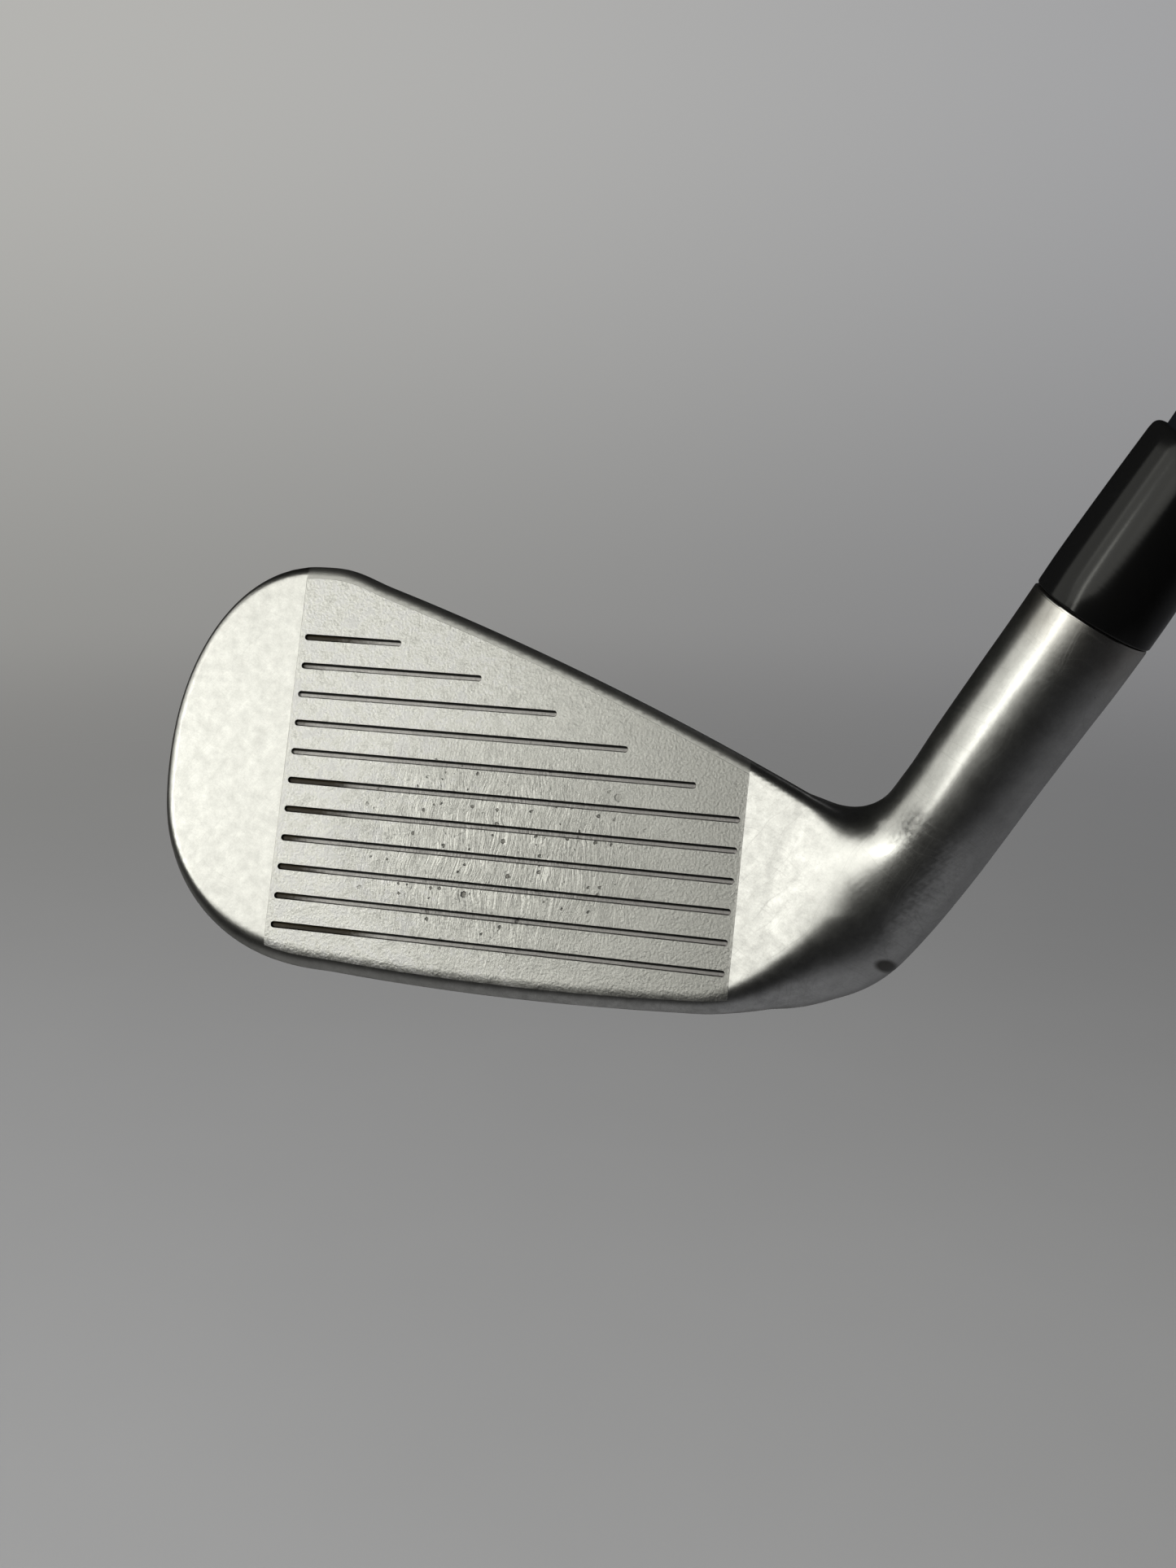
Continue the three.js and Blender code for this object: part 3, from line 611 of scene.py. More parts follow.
def top_height(x):
    """Height of the topline and of the toe's upper curve at a station."""
    x = np.asarray(x, float)
    run = x - TOPLINE_X
    line = TOPLINE_V - TOPLINE_SLOPE * run - TOPLINE_BOW * run * run
    crown = PEAK_V - PEAK_BOW * (x - PEAK_X) ** 2
    line = crown + (line - crown) * smooth(PEAK_X, PEAK_X + PEAK_BLEND, x)
    fall = rounded_quarter((PEAK_X - x) / (PEAK_X - TOE_X), TOE_TOP_POWER)
    toe = TOE_V + (PEAK_V - TOE_V) * fall
    close = rounded_quarter((x - CROTCH_X) / (HEEL_X - CROTCH_X), 2)
    return np.where(x < PEAK_X, toe, HEEL_V + (line - HEEL_V) * close)


def sole_height(x):
    """Height of the sole line at a station."""
    x = np.asarray(x, float)
    camber = SOLE_V + SOLE_CAMBER * (x - SOLE_MID_X) ** 2
    belly = SOLE_V + SOLE_CAMBER * (BELLY_X - SOLE_MID_X) ** 2
    fall = rounded_quarter((BELLY_X - x) / (BELLY_X - TOE_X), TOE_SOLE_POWER)
    toe = TOE_V + (belly - TOE_V) * fall
    heel = rounded_quarter((x - HEEL_START_X) / (HEEL_X - HEEL_START_X), 2)
    return np.where(x < BELLY_X, toe, camber + HEEL_RISE * (1 - heel))


def outline_loop():
    """The blade's outline as a closed loop of (x, v) points, close together at the ends."""
    turn = np.linspace(0, math.pi, 150)
    x = (TOE_X + HEEL_X) / 2 - (HEEL_X - TOE_X) / 2 * np.cos(turn)
    upper = np.column_stack([x, top_height(x)])
    lower = np.column_stack([x, sole_height(x)])
    return np.vstack([lower, upper[::-1]])


OUTLINE = outline_loop()


def outline_distance(x, v):
    """Signed distance in the face plane to the blade's outline, negative inside."""
    shape = x.shape
    x, v = x.ravel(), v.ravel()
    best = np.full(x.shape, 1e9)
    start, end = OUTLINE, np.roll(OUTLINE, -1, 0)
    for (ax, av), (bx, bv) in zip(start, end):
        ex, ev = bx - ax, bv - av
        length = ex * ex + ev * ev
        if length < 1e-12:
            continue
        t = np.clip(((x - ax) * ex + (v - av) * ev) / length, 0, 1)
        best = np.minimum(best, (x - ax - t * ex) ** 2 + (v - av - t * ev) ** 2)
    inside = (x > TOE_X) & (x < HEEL_X) & (v < top_height(x)) & (v > sole_height(x))
    return np.where(inside, -1, 1).reshape(shape) * np.sqrt(best).reshape(shape)


# ---- the head as a distance field -------------------------------------------------------

def round_cut(a, b, radius, ease=2.0):
    """Intersection of two fields with a rounded edge; ease above 2 starts the round gently."""
    outside = (np.maximum(radius + a, 0) ** ease + np.maximum(radius + b, 0) ** ease)
    outside = outside ** (1 / ease)
    return np.minimum(-radius, np.maximum(a, b)) + outside


def blend_join(a, b, width):
    """Union of two fields with a fillet of the given width."""
    h = np.clip(0.5 + 0.5 * (b - a) / width, 0, 1)
    return b + (a - b) * h - width * h * (1 - h)


# Stations of the neck in the head frame: x, v, w, then its half width across the face and
# its half depth. Low down it is a broad roll under the face; it swings up to the hosel.
NECK_STATIONS = np.array([
    (22.0, -13.0, -8.6, 6.5, 6.4), (28.0, -11.9, -8.4, 6.9, 6.9), (32.8, -10.2, -8.0, 8.4, 7.2),
    (36.3, -8.0, -7.8, 9.6, 7.4), (38.8, -6.7, -7.5, 9.7, 7.4), (43.0, -3.7, -6.1, 8.4, 7.05),
    (48.1, 1.0, -3.7, 6.9, 6.85), (51.4, 5.6, -1.2, 6.6, 6.65)])
# Stations of the hosel: distance along the shaft axis, shift aside, then its radius.
HOSEL_ASIDE, NECK_SPLITS = (0.86, -0.51), 10
HOSEL_STATIONS = ((37.0, -0.5, 6.66), (45.0, -0.3, 6.75), (52.0, -0.1, 6.82),
                  (HOSEL_TOP + 8, 0.0, 6.86))


def neck_path():
    """Centres and half sizes of the neck, from deep in the heel up into the hosel."""
    rows = [tuple(s) for s in NECK_STATIONS]
    for along, aside, radius in HOSEL_STATIONS:
        x, v, w = row_to_head(np.array(on_axis(along))[None])[0]
        rows.append((x + HOSEL_ASIDE[0] * aside, v + HOSEL_ASIDE[1] * aside, w, radius, radius))
    rows = np.array(rows)
    ends = np.vstack([2 * rows[0] - rows[1], rows, 2 * rows[-1] - rows[-2]])
    t = np.linspace(0, 1, NECK_SPLITS + 1)[:-1, None]
    path = []
    # Smooth curve through the stations, each stretch shaped by its two neighbours.
    for a, b, c, d in zip(ends, ends[1:], ends[2:], ends[3:]):
        path.append(b + t * (c - a) / 2 + t * t * (a - 2.5 * b + 2 * c - d / 2)
                    + t ** 3 * (1.5 * (b - c) + (d - a) / 2))
    path = np.vstack(path + [rows[-1:]])
    return path[:, :3], path[:, 3:]


NECK_CENTRES, NECK_HALVES = neck_path()


def neck_distance(x, v, w):
    """Signed distance to the neck, an oval tube of changing size."""
    best = np.full(np.broadcast(x, v, w).shape, 1e9)
    for i in range(len(NECK_CENTRES) - 1):
        a, b = NECK_CENTRES[i], NECK_CENTRES[i + 1]
        edge = b - a
        t = ((x - a[0]) * edge[0] + (v - a[1]) * edge[1] + (w - a[2]) * edge[2])
        t = np.clip(t / edge.dot(edge), 0, 1)
        parts = (x - a[0] - t * edge[0], v - a[1] - t * edge[1], w - a[2] - t * edge[2])
        wide, deep = (NECK_HALVES[i][k] + (NECK_HALVES[i + 1][k] - NECK_HALVES[i][k]) * t
                      for k in (0, 1))
        gap = np.sqrt((parts[0] ** 2 + parts[1] ** 2) / wide ** 2 + (parts[2] / deep) ** 2)
        best = np.minimum(best, (gap - 1) * np.minimum(wide, deep))
    return best


def back_depth(x, v):
    """How far behind the face the back lies: a thin upper blade over a thick muscle."""
    sole = sole_height(x)
    muscle = sole + (top_height(x) - sole) * MUSCLE_TOP
    muscle = np.clip(muscle, MUSCLE_LOW, MUSCLE_HIGH)
    step = smooth(0, 1, (muscle + 2.6 - v) / MUSCLE_STEP)
    slope = np.clip((muscle - 1 - v) / MUSCLE_RUN, 0, 1.4)
    return BLADE_DEPTH + (MUSCLE_DEPTH - BLADE_DEPTH) * step + MUSCLE_SWELL * slope


def blade_distance(x, v, w):
    """Signed distance to the blade, with its rolled edges, tilted sole and stepped back."""
    behind = np.maximum(-w - 1.5, 0)
    share = (1 - smooth(-20, 16, v)) * (1 - 0.8 * smooth(18, 34, x))
    rise = behind * math.tan(SOLE_TILT) * share
    edge = outline_lookup(x, v - rise)
    # The front edge is rounder low down, and rounder still towards the heel.
    front = (1.3 + 1.5 * smooth(-4, -19, v) + 1.0 * smooth(26, 40, x) * smooth(-4, 8, v)
             + 9.0 * smooth(25, 43, x) * smooth(4, -10, v))
    solid = round_cut(edge, w + 0 * edge, front, 2.0 + 0.5 * smooth(25, 34, x))
    back = -(w + back_depth(x, v)) * 0.8
    return round_cut(solid, back, 1.8 + 1.2 * smooth(0, -14, v))


LOOKUP_STEP = 0.25
LOOKUP_X = np.arange(TOE_X - 8, HEEL_X + 30, LOOKUP_STEP)
LOOKUP_V = np.arange(-40.0, 60.0, LOOKUP_STEP)
LOOKUP = outline_distance(*np.meshgrid(LOOKUP_X, LOOKUP_V, indexing="ij"))


def outline_lookup(x, v):
    """Outline distance read from a fine table, between its points."""
    fx = np.clip((x - LOOKUP_X[0]) / LOOKUP_STEP, 0, len(LOOKUP_X) - 1.001)
    fv = np.clip((v - LOOKUP_V[0]) / LOOKUP_STEP, 0, len(LOOKUP_V) - 1.001)
    fx, fv = np.broadcast_arrays(fx, fv)
    ix, iv = fx.astype(int), fv.astype(int)
    tx, tv = fx - ix, fv - iv
    low = LOOKUP[ix, iv] * (1 - tx) + LOOKUP[ix + 1, iv] * tx
    high = LOOKUP[ix, iv + 1] * (1 - tx) + LOOKUP[ix + 1, iv + 1] * tx
    return low * (1 - tv) + high * tv


AXIS_HEAD = row_to_head(np.array(SHAFT_AXIS)[None])[0]
GROUND_HEAD = row_to_head(np.array(AXIS_ON_GROUND)[None])[0]


def shaft_coordinates(x, v, w):
    """Distance along the shaft axis, and distance from it."""
    along = ((x - GROUND_HEAD[0]) * AXIS_HEAD[0] + (v - GROUND_HEAD[1]) * AXIS_HEAD[1]
             + (w - GROUND_HEAD[2]) * AXIS_HEAD[2])
    away = np.sqrt((x - GROUND_HEAD[0] - along * AXIS_HEAD[0]) ** 2
                   + (v - GROUND_HEAD[1] - along * AXIS_HEAD[1]) ** 2
                   + (w - GROUND_HEAD[2] - along * AXIS_HEAD[2]) ** 2)
    return along, away


def head_distance(x, v, w):
    """The whole head: blade and neck, with a fillet under the crotch."""
    width = 0.3 + (1.6 + 2.6 * smooth(-10, 4, v)) * smooth(28, 37, x)
    body = blend_join(blade_distance(x, v, w), neck_distance(x, v, w), width)
    along = shaft_coordinates(x, v, w)[0]
    return np.maximum(body, along - HOSEL_TOP - 2)


# ---- surface from a distance field ------------------------------------------------------

def surface_net(field, low, step):
    """Closed quad surface of a sampled field, one point in each cell that it crosses."""
    inside = field < 0
    cells = tuple(n - 1 for n in field.shape)
    total = np.zeros(cells + (3,))
    count = np.zeros(cells)
    for axis in range(3):
        others = [a for a in range(3) if a != axis]
        for i in (0, 1):
            for j in (0, 1):
                near = [slice(None)] * 3
                near[axis] = slice(0, cells[axis])
                near[others[0]] = slice(i, i + cells[others[0]])
                near[others[1]] = slice(j, j + cells[others[1]])
                far = list(near)
                far[axis] = slice(1, cells[axis] + 1)
                a, b = field[tuple(near)], field[tuple(far)]
                crosses = inside[tuple(near)] != inside[tuple(far)]
                t = np.where(crosses, a / np.where(crosses, a - b, 1), 0)
                total[..., axis] += t
                total[..., others[0]] += i * crosses
                total[..., others[1]] += j * crosses
                count += crosses
    used = count > 0
    index = np.full(cells, -1)
    index[used] = np.arange(used.sum())
    corner = np.argwhere(used)
    points = low + (corner + total[used] / count[used][:, None]) * step
    faces = []
    for axis in range(3):
        one, two = [a for a in range(3) if a != axis]
        if axis == 1:
            one, two = two, one
        inner = [slice(1, n - 1) for n in field.shape]
        inner[axis] = slice(0, field.shape[axis] - 1)
        ahead = list(inner)
        ahead[axis] = slice(1, field.shape[axis])
        first, second = inside[tuple(inner)], inside[tuple(ahead)]
        where = np.argwhere(first != second)
        leaving = first[first != second]
        where[:, one] += 1
        where[:, two] += 1
        ring = []
        for i, j in ((1, 1), (0, 1), (0, 0), (1, 0)):
            cell = where.copy()
            cell[:, one] -= i
            cell[:, two] -= j
            ring.append(index[cell[:, 0], cell[:, 1], cell[:, 2]])
        quads = np.column_stack(ring)
        quads[~leaving] = quads[~leaving][:, ::-1]
        faces.append(quads)
    return points, np.vstack(faces)


def field_gradient(distance, points, reach=0.05):
    """Slope of a field at each point."""
    gradient = np.empty_like(points)
    for axis in range(3):
        shift = np.zeros(3)
        shift[axis] = reach
        ahead, back = points + shift, points - shift
        gradient[:, axis] = (distance(*ahead.T) - distance(*back.T)) / (2 * reach)
    return gradient


def settle(distance, points, rounds=3):
    """Moves points onto the field's zero surface."""
    for _ in range(rounds):
        slope = field_gradient(distance, points)
        steep = np.maximum((slope ** 2).sum(1), 0.05)
        move = (distance(*points.T) / steep)[:, None] * slope
        points = points - np.clip(move, -0.2, 0.2)
    return points


# ---- mesh helpers -----------------------------------------------------------------------

def new_object(name, points, faces, material=None, smooth_shading=True):
    """A new mesh object in the scene."""
    mesh = bpy.data.meshes.new(name)
    mesh.from_pydata([tuple(p) for p in points], [], [tuple(int(i) for i in f) for f in faces])
    mesh.validate()
    if smooth_shading:
        mesh.shade_smooth()
    else:
        mesh.shade_flat()
    piece = bpy.data.objects.new(name, mesh)
    bpy.context.scene.collection.objects.link(piece)
    if material:
        mesh.materials.append(material)
    return piece


def finish_piece(piece, slot, *nodes):
    """Hangs a piece on the club, in place of the CAD nodes that it stands for."""
    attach(piece, "root")
    if nodes:
        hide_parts(*nodes)


# ---- head body --------------------------------------------------------------------------

def face_outline(inset, grow=0.0):
    """The face plate's outline in the face plane."""
    x = np.linspace(PLATE_LEFT - grow, PLATE_RIGHT + grow, 40)
    lower = np.column_stack([x, sole_height(x) + inset - grow])
    upper = np.column_stack([x, top_height(x) - inset + grow])
    return np.vstack([lower, upper[::-1]])


def block_faces(count):
    """Sides and end caps between two rings of this many points."""
    sides = [(i, (i + 1) % count, count + (i + 1) % count, count + i) for i in range(count)]
    return sides + [tuple(range(count))[::-1], tuple(range(count, 2 * count))]


def prism(name, outline, near, far):
    """A straight-walled block of an outline, between two heights above the face."""
    count = len(outline)
    ends = [np.column_stack([outline, np.full(count, w)]) for w in (near, far)]
    return new_object(name, head_to_row(np.vstack(ends)), block_faces(count),
                      smooth_shading=False)


def cut(piece, tool, operation="DIFFERENCE"):
    """Cuts a piece with a tool and removes the tool."""
    modifier = piece.modifiers.new("cut", "BOOLEAN")
    modifier.operation = operation
    modifier.solver = "EXACT"
    modifier.object = tool
    graph = bpy.context.evaluated_depsgraph_get()
    mesh = bpy.data.meshes.new_from_object(piece.evaluated_get(graph))
    piece.modifiers.clear()
    piece.data = mesh
    mesh.name = piece.name
    bpy.data.objects.remove(tool)


def shade_by_field(piece, distance, least_agreement, off_by):
    """Gives each corner the field's own normal, and keeps cut walls and floors flat."""
    mesh = piece.data
    count = len(mesh.vertices)
    places = np.empty(count * 3)
    mesh.vertices.foreach_get("co", places)
    places = row_to_head(places.reshape(-1, 3) / MM)
    normals = field_gradient(distance, places)
    normals /= np.maximum(np.linalg.norm(normals, axis=1), 1e-6)[:, None]
    normals = normals @ HEAD_NP.T
    corner_vertex = np.empty(len(mesh.loops), int)
    mesh.loops.foreach_get("vertex_index", corner_vertex)
    face_normal = np.empty(len(mesh.polygons) * 3)
    mesh.polygons.foreach_get("normal", face_normal)
    face_normal = face_normal.reshape(-1, 3)
    sizes = np.empty(len(mesh.polygons), int)
    mesh.polygons.foreach_get("loop_total", sizes)
    flat = np.repeat(face_normal, sizes, 0)
    corner = normals[corner_vertex]
    off_surface = np.abs(distance(*places.T)) > off_by
    agree = ((corner * flat).sum(1) > least_agreement) & ~off_surface[corner_vertex]
    corner = np.where(agree[:, None], corner, flat)
    mesh.normals_split_custom_set([tuple(n) for n in corner])


def build_head_solid():
    """The head's outer solid with its bore, before the plate is parted from it."""
    low = np.array([TOE_X - 2.2, -26.0, -21.5])
    high = np.array([72.0, 34.0, 16.0])
    axes = [np.arange(a, b, NET_STEP) for a, b in zip(low, high)]
    x, v, w = np.meshgrid(*axes, indexing="ij", sparse=True)
    points, faces = surface_net(head_distance(x, v, w), low, NET_STEP)
    return settle(head_distance, points), faces


def build_head_and_plate():
    """Parts one solid into the body and the strike plate, so their surfaces run on."""
    points, faces = build_head_solid()
    head = new_object("head_body_fine", head_to_row(points), faces, CHROME)
    plate = new_object("face_plate_fine", head_to_row(points), faces, FACE)
    cut(head, prism("plate_pocket", face_outline(PLATE_INSET, SEAM), -PLATE_THICK - SEAM, 3))
    cut(head, port_hole())
    cut(head, badge_recess())
    cut(head, hosel_end())
    cut(plate, prism("plate_blank", face_outline(PLATE_INSET), -PLATE_THICK, 3), "INTERSECT")
    cut(plate, score_line_cutters())
    shade_by_field(head, head_distance, 0.3, 0.15)
    shade_by_field(plate, head_distance, 0.5, 0.04)
    finish_piece(head, "satin_chrome", "head_body")
    finish_piece(plate, "blasted_face", "face_plate")


def hosel_end():
    """Tool that bores the hosel and squares its end with a small rounded rim."""
    top = HOSEL_TOP
    rim = rounded(HOSEL_R - 0.35, top - 0.35, 0.37, 90, 5, 7)
    profile = [(0, BORE_BOTTOM), (BORE_R, BORE_BOTTOM), (BORE_R, top), *rim, (10, top - 0.4),
               (10, top + 12), (0, top + 12)]
    return lathe("hosel_end", profile, CHROME, sides=96)


def badge_recess():
    """Tool for the shallow recess in the back that holds the badge."""
    half, radius = (BADGE_LENGTH - BADGE_HEIGHT) / 2, BADGE_HEIGHT / 2 + BADGE_GAP
    turn = np.linspace(-math.pi / 2, math.pi / 2, 24)
    right = np.column_stack([half + radius * np.cos(turn), radius * np.sin(turn)])
    loop = np.vstack([right, -right])
    lean = np.array([[math.cos(BADGE_LEAN), math.sin(BADGE_LEAN)],
                     [-math.sin(BADGE_LEAN), math.cos(BADGE_LEAN)]])
    return prism("badge_recess", loop @ lean + BADGE_PLACE, -20.0, -BADGE_FLOOR)


def port_hole():
    """The screw's hole through the toe."""
    count = 48
    turn = np.linspace(0, 2 * math.pi, count, endpoint=False)
    ring = np.column_stack([0 * turn, PORT_V + PORT_R * np.cos(turn),
                            PORT_W + PORT_R * np.sin(turn)])
    points = np.vstack([ring + (x, 0, 0) for x in (PORT_FROM, PORT_TO)])
    return new_object("port_hole", head_to_row(points), block_faces(count),
                      smooth_shading=False)


# ---- Geometry Nodes ---------------------------------------------------------------------

SOCKET_KINDS = {int: "NodeSocketInt", float: "NodeSocketFloat",
                bpy.types.Material: "NodeSocketMaterial"}


def geometry_tree(name, inputs):
    """A tree with named inputs, whose output is filled in by the caller."""
    tree = bpy.data.node_groups.new(name, "GeometryNodeTree")
    tree.interface.new_socket("Geometry", in_out="INPUT", socket_type="NodeSocketGeometry")
    tree.interface.new_socket("Geometry", in_out="OUTPUT", socket_type="NodeSocketGeometry")
    for label, value in inputs.items():
        tree.interface.new_socket(label, in_out="INPUT", socket_type=SOCKET_KINDS[type(value)])
    return tree, tree.nodes.new("NodeGroupInput").outputs


def end_tree(tree, geometry, material):
    """Makes instances real, gives them their material and closes the tree."""
    real = put(tree, "GeometryNodeRealizeInstances", {0: geometry}).outputs[0]
    painted = put(tree, "GeometryNodeSetMaterial", {"Geometry": real, "Material": material})
    out = tree.nodes.new("NodeGroupOutput")
    tree.links.new(painted.outputs[0], out.inputs[0])


def run_tree(name, tree, inputs):
    """Runs a tree with its inputs set, and returns a plain mesh object."""
    holder = bpy.data.objects.new(name, bpy.data.meshes.new(name + "_seed"))
    bpy.context.scene.collection.objects.link(holder)
    modifier = holder.modifiers.new(name, "NODES")
    modifier.node_group = tree
    for item in tree.interface.items_tree:
        if item.item_type == "SOCKET" and item.in_out == "INPUT" and item.name in inputs:
            modifier[item.identifier] = inputs[item.name]
    graph = bpy.context.evaluated_depsgraph_get()
    mesh = bpy.data.meshes.new_from_object(holder.evaluated_get(graph))
    holder.modifiers.clear()
    holder.data = mesh
    mesh.name = name
    return holder


def score_line_cutters():
    """Tapered round-ended cutters, one for each score line, trimmed along the topline."""
    sizes = {"Count": SCORE_COUNT, "Pitch": SCORE_PITCH, "First Height": SCORE_FIRST_V,
             "Left End": SCORE_LEFT, "Full Length": SCORE_LENGTH, "Half Width": SCORE_HALF_WIDTH,
             "Floor Half Width": SCORE_FLOOR_HALF, "Depth": SCORE_DEPTH,
             "Shoulder": SCORE_SHOULDER, "Topline Start": TOPLINE_V,
             "Topline Slope": TOPLINE_SLOPE, "Topline Bend": TOPLINE_BOW,
             "Topline From": TOPLINE_X, "Topline Inset": SCORE_INSET, "Material": FACE}
    tree, given = geometry_tree("score lines", sizes)
    index = tree.nodes.new("GeometryNodeInputIndex").outputs[0]
    height = plus(tree, given["First Height"], times(tree, index, given["Pitch"]))
    drop = minus(tree, given["Topline Start"], given["Topline Inset"], height)
    inside = plus(tree, times(tree, given["Topline Slope"],
                              given["Topline Slope"]),
                  times(tree, drop, given["Topline Bend"], 4.0))
    root = chain(tree, "SQRT", inside)
    run = ratio(tree, minus(tree, root, given["Topline Slope"]), given["Topline Bend"], 2.0)
    reach = minus(tree, plus(tree, run, given["Topline From"]), given["Left End"])
    length = chain(tree, "MINIMUM", reach, given["Full Length"])
    start = put(tree, "ShaderNodeCombineXYZ", {0: given["Left End"], 1: height}).outputs[0]
    points = put(tree, "GeometryNodePoints", {"Count": given["Count"], "Position": start})
    kept = put(tree, "GeometryNodeStoreNamedAttribute",
               {"Geometry": points.outputs[0], "Name": "length", "Value": length},
               data_type="FLOAT", domain="POINT").outputs[0]
    tool = put(tree, "GeometryNodeMeshCylinder",
               {"Vertices": 24, "Side Segments": 8, "Radius": 1.0, "Depth": 1.0}).outputs[0]
    place = tree.nodes.new("GeometryNodeInputPosition").outputs[0]
    x, y, z = axis_of(tree, place)
    rise = plus(tree, z, 0.5)
    flare = times(tree, chain(tree, "POWER", rise, 9.0), given["Shoulder"])
    slope = minus(tree, given["Half Width"], given["Floor Half Width"])
    radius = plus(tree, given["Floor Half Width"],
                  times(tree, slope, chain(tree, "POWER", rise, 0.8)), flare)
    deep = times(tree, minus(tree, rise, 0.9), given["Depth"])
    shaped = put(tree, "ShaderNodeCombineXYZ", {
        0: times(tree, x, radius), 1: times(tree, y, radius),
        2: deep}).outputs[0]
    heel_end = put(tree, "FunctionNodeCompare", {0: x, 1: 0.001}, operation="GREATER_THAN")
    tool = put(tree, "GeometryNodeStoreNamedAttribute",
               {"Geometry": tool, "Name": "heel_end", "Value": heel_end.outputs[0]},
               data_type="BOOLEAN", domain="POINT").outputs[0]
    tool = put(tree, "GeometryNodeSetPosition", {"Geometry": tool, "Position": shaped}).outputs[0]
    lines = put(tree, "GeometryNodeInstanceOnPoints", {"Points": kept, "Instance": tool}).outputs[0]
    real = put(tree, "GeometryNodeRealizeInstances", {0: lines}).outputs[0]
    stretch = put(tree, "ShaderNodeCombineXYZ", {0: named(tree, "length", "FLOAT")}).outputs[0]
    drawn = put(tree, "GeometryNodeSetPosition", {
        "Geometry": real, "Selection": named(tree, "heel_end", "BOOLEAN"), "Offset": stretch})
    end_tree(tree, drawn.outputs[0], given["Material"])
    cutters = run_tree("score_lines", tree, sizes)
    turn_into_place(cutters, HEAD, Vector())
    return cutters


def named(tree, name, kind):
    """Reads a stored attribute."""
    return put(tree, "GeometryNodeInputNamedAttribute", {"Name": name}, data_type=kind).outputs[0]


def turn_into_place(piece, turn, origin):
    """Takes a mesh from a part's own millimetre frame into the row frame."""
    matrix = Matrix.Translation(origin * MM) @ turn.to_4x4() @ Matrix.Scale(MM, 4)
    piece.data.transform(matrix)
    piece.data.update()


# ---- pieces on the shaft axis -----------------------------------------------------------

def shaft_radius(along):
    """Outside radius of the shaft at a station."""
    stations = [SHAFT_TIP, FERRULE_TOP, TAPER_START, GRIP_MOUTH, SHAFT_END]
    radii = [SHAFT_TIP_R, SHAFT_FOOT_R, SHAFT_FOOT_R, SHAFT_BUTT_R, SHAFT_BUTT_R]
    return float(np.interp(along, stations, radii))


def grip_radius(along):
    """Outside radius of the grip at a station."""
    share = max(0.0, along - GRIP_MOUTH) / (CLUB_LENGTH - GRIP_MOUTH)
    return GRIP_MOUTH_R + (GRIP_BUTT_R - GRIP_MOUTH_R) * share ** GRIP_SWELL


def lathe(name, profile, material, sides=SIDES, sharp=35):
    """Turns a closed profile of (radius, along) points round the shaft axis."""
    turn = np.linspace(0, 2 * math.pi, sides, endpoint=False)
    points, count = [], len(profile)
    for radius, along in profile:
        points.append(np.column_stack([radius * np.cos(turn), radius * np.sin(turn),
                                       np.full(sides, along)]))
    faces = []
    for i in range(count):
        j = (i + 1) % count
        for k in range(sides):
            m = (k + 1) % sides
            faces.append((i * sides + k, i * sides + m, j * sides + m, j * sides + k))
    piece = new_object(name, np.vstack(points), faces, material)
    make_outward(piece)
    piece.data.set_sharp_from_angle(angle=math.radians(sharp))
    turn_into_place(piece, SHAFT_TURN, AXIS_ON_GROUND)
    return piece


def make_outward(piece):
    """Joins doubled points and turns the faces outward."""
    mesh = bmesh.new()
    mesh.from_mesh(piece.data)
    bmesh.ops.remove_doubles(mesh, verts=mesh.verts, dist=1e-4)
    bmesh.ops.recalc_face_normals(mesh, faces=mesh.faces)
    mesh.to_mesh(piece.data)
    mesh.free()


def rounded(radius_at, along_at, size, start, end, steps=8):
    """Points of a small arc, from one angle in degrees to another."""
    turns = np.radians(np.linspace(start, end, steps))
    return [(radius_at + size * math.cos(t), along_at + size * math.sin(t)) for t in turns]


def build_ferrule():
    """Barrel ferrule: a parallel foot, a gentle taper and a rounded lip."""
    outer = rounded(FERRULE_R - 0.25, FERRULE_BASE + 0.25, 0.25, -90, 0, 5)
    foot = FERRULE_BASE + FERRULE_FOOT
    for along in np.linspace(foot, FERRULE_TOP - 1.2, 14):
        t = (along - foot) / (FERRULE_TOP - foot)
        outer.append((FERRULE_R - FERRULE_DROP * t ** 1.3, along))
    lip = rounded(FERRULE_R - FERRULE_DROP - FERRULE_LIP, FERRULE_TOP - FERRULE_LIP, FERRULE_LIP,
                  0, 90, 10)
    bore = [(shaft_radius(FERRULE_TOP) + 0.06, FERRULE_TOP),
            (shaft_radius(FERRULE_BASE) + 0.06, FERRULE_BASE)]
    piece = lathe("ferrule_fine", outer + lip + bore, FERRULE_BLACK)
    finish_piece(piece, "ferrule_black", "ferrule")


def sleeve_profile(outside, inside, start, end, steps):
    """A closed sleeve profile from two radius rules."""
    along = np.linspace(start, end, steps)
    return ([(outside(s), s) for s in along] + [(inside(s), s) for s in along[::-1]])


def build_shaft():
    """Tapered tube, and the film round it below the grip."""
    stations = sorted({SHAFT_TIP, FERRULE_TOP, TAPER_START, GRIP_MOUTH, SHAFT_END,
                       *np.linspace(200, 700, 26)})
    profile = [(shaft_radius(s), s) for s in stations]
    profile += [(shaft_radius(s) - SHAFT_WALL, s) for s in stations[::-1]]
    finish_piece(lathe("shaft_fine", profile, SHAFT_LACQUER), "shaft_lacquer", "shaft")
    label = sleeve_profile(lambda s: shaft_radius(s) + 0.17, lambda s: shaft_radius(s) + 0.05,
                           LABEL_FROM, LABEL_TO, 12)
    finish_piece(lathe("shaft_label_fine", label, LABEL), "label_film", "shaft_label")


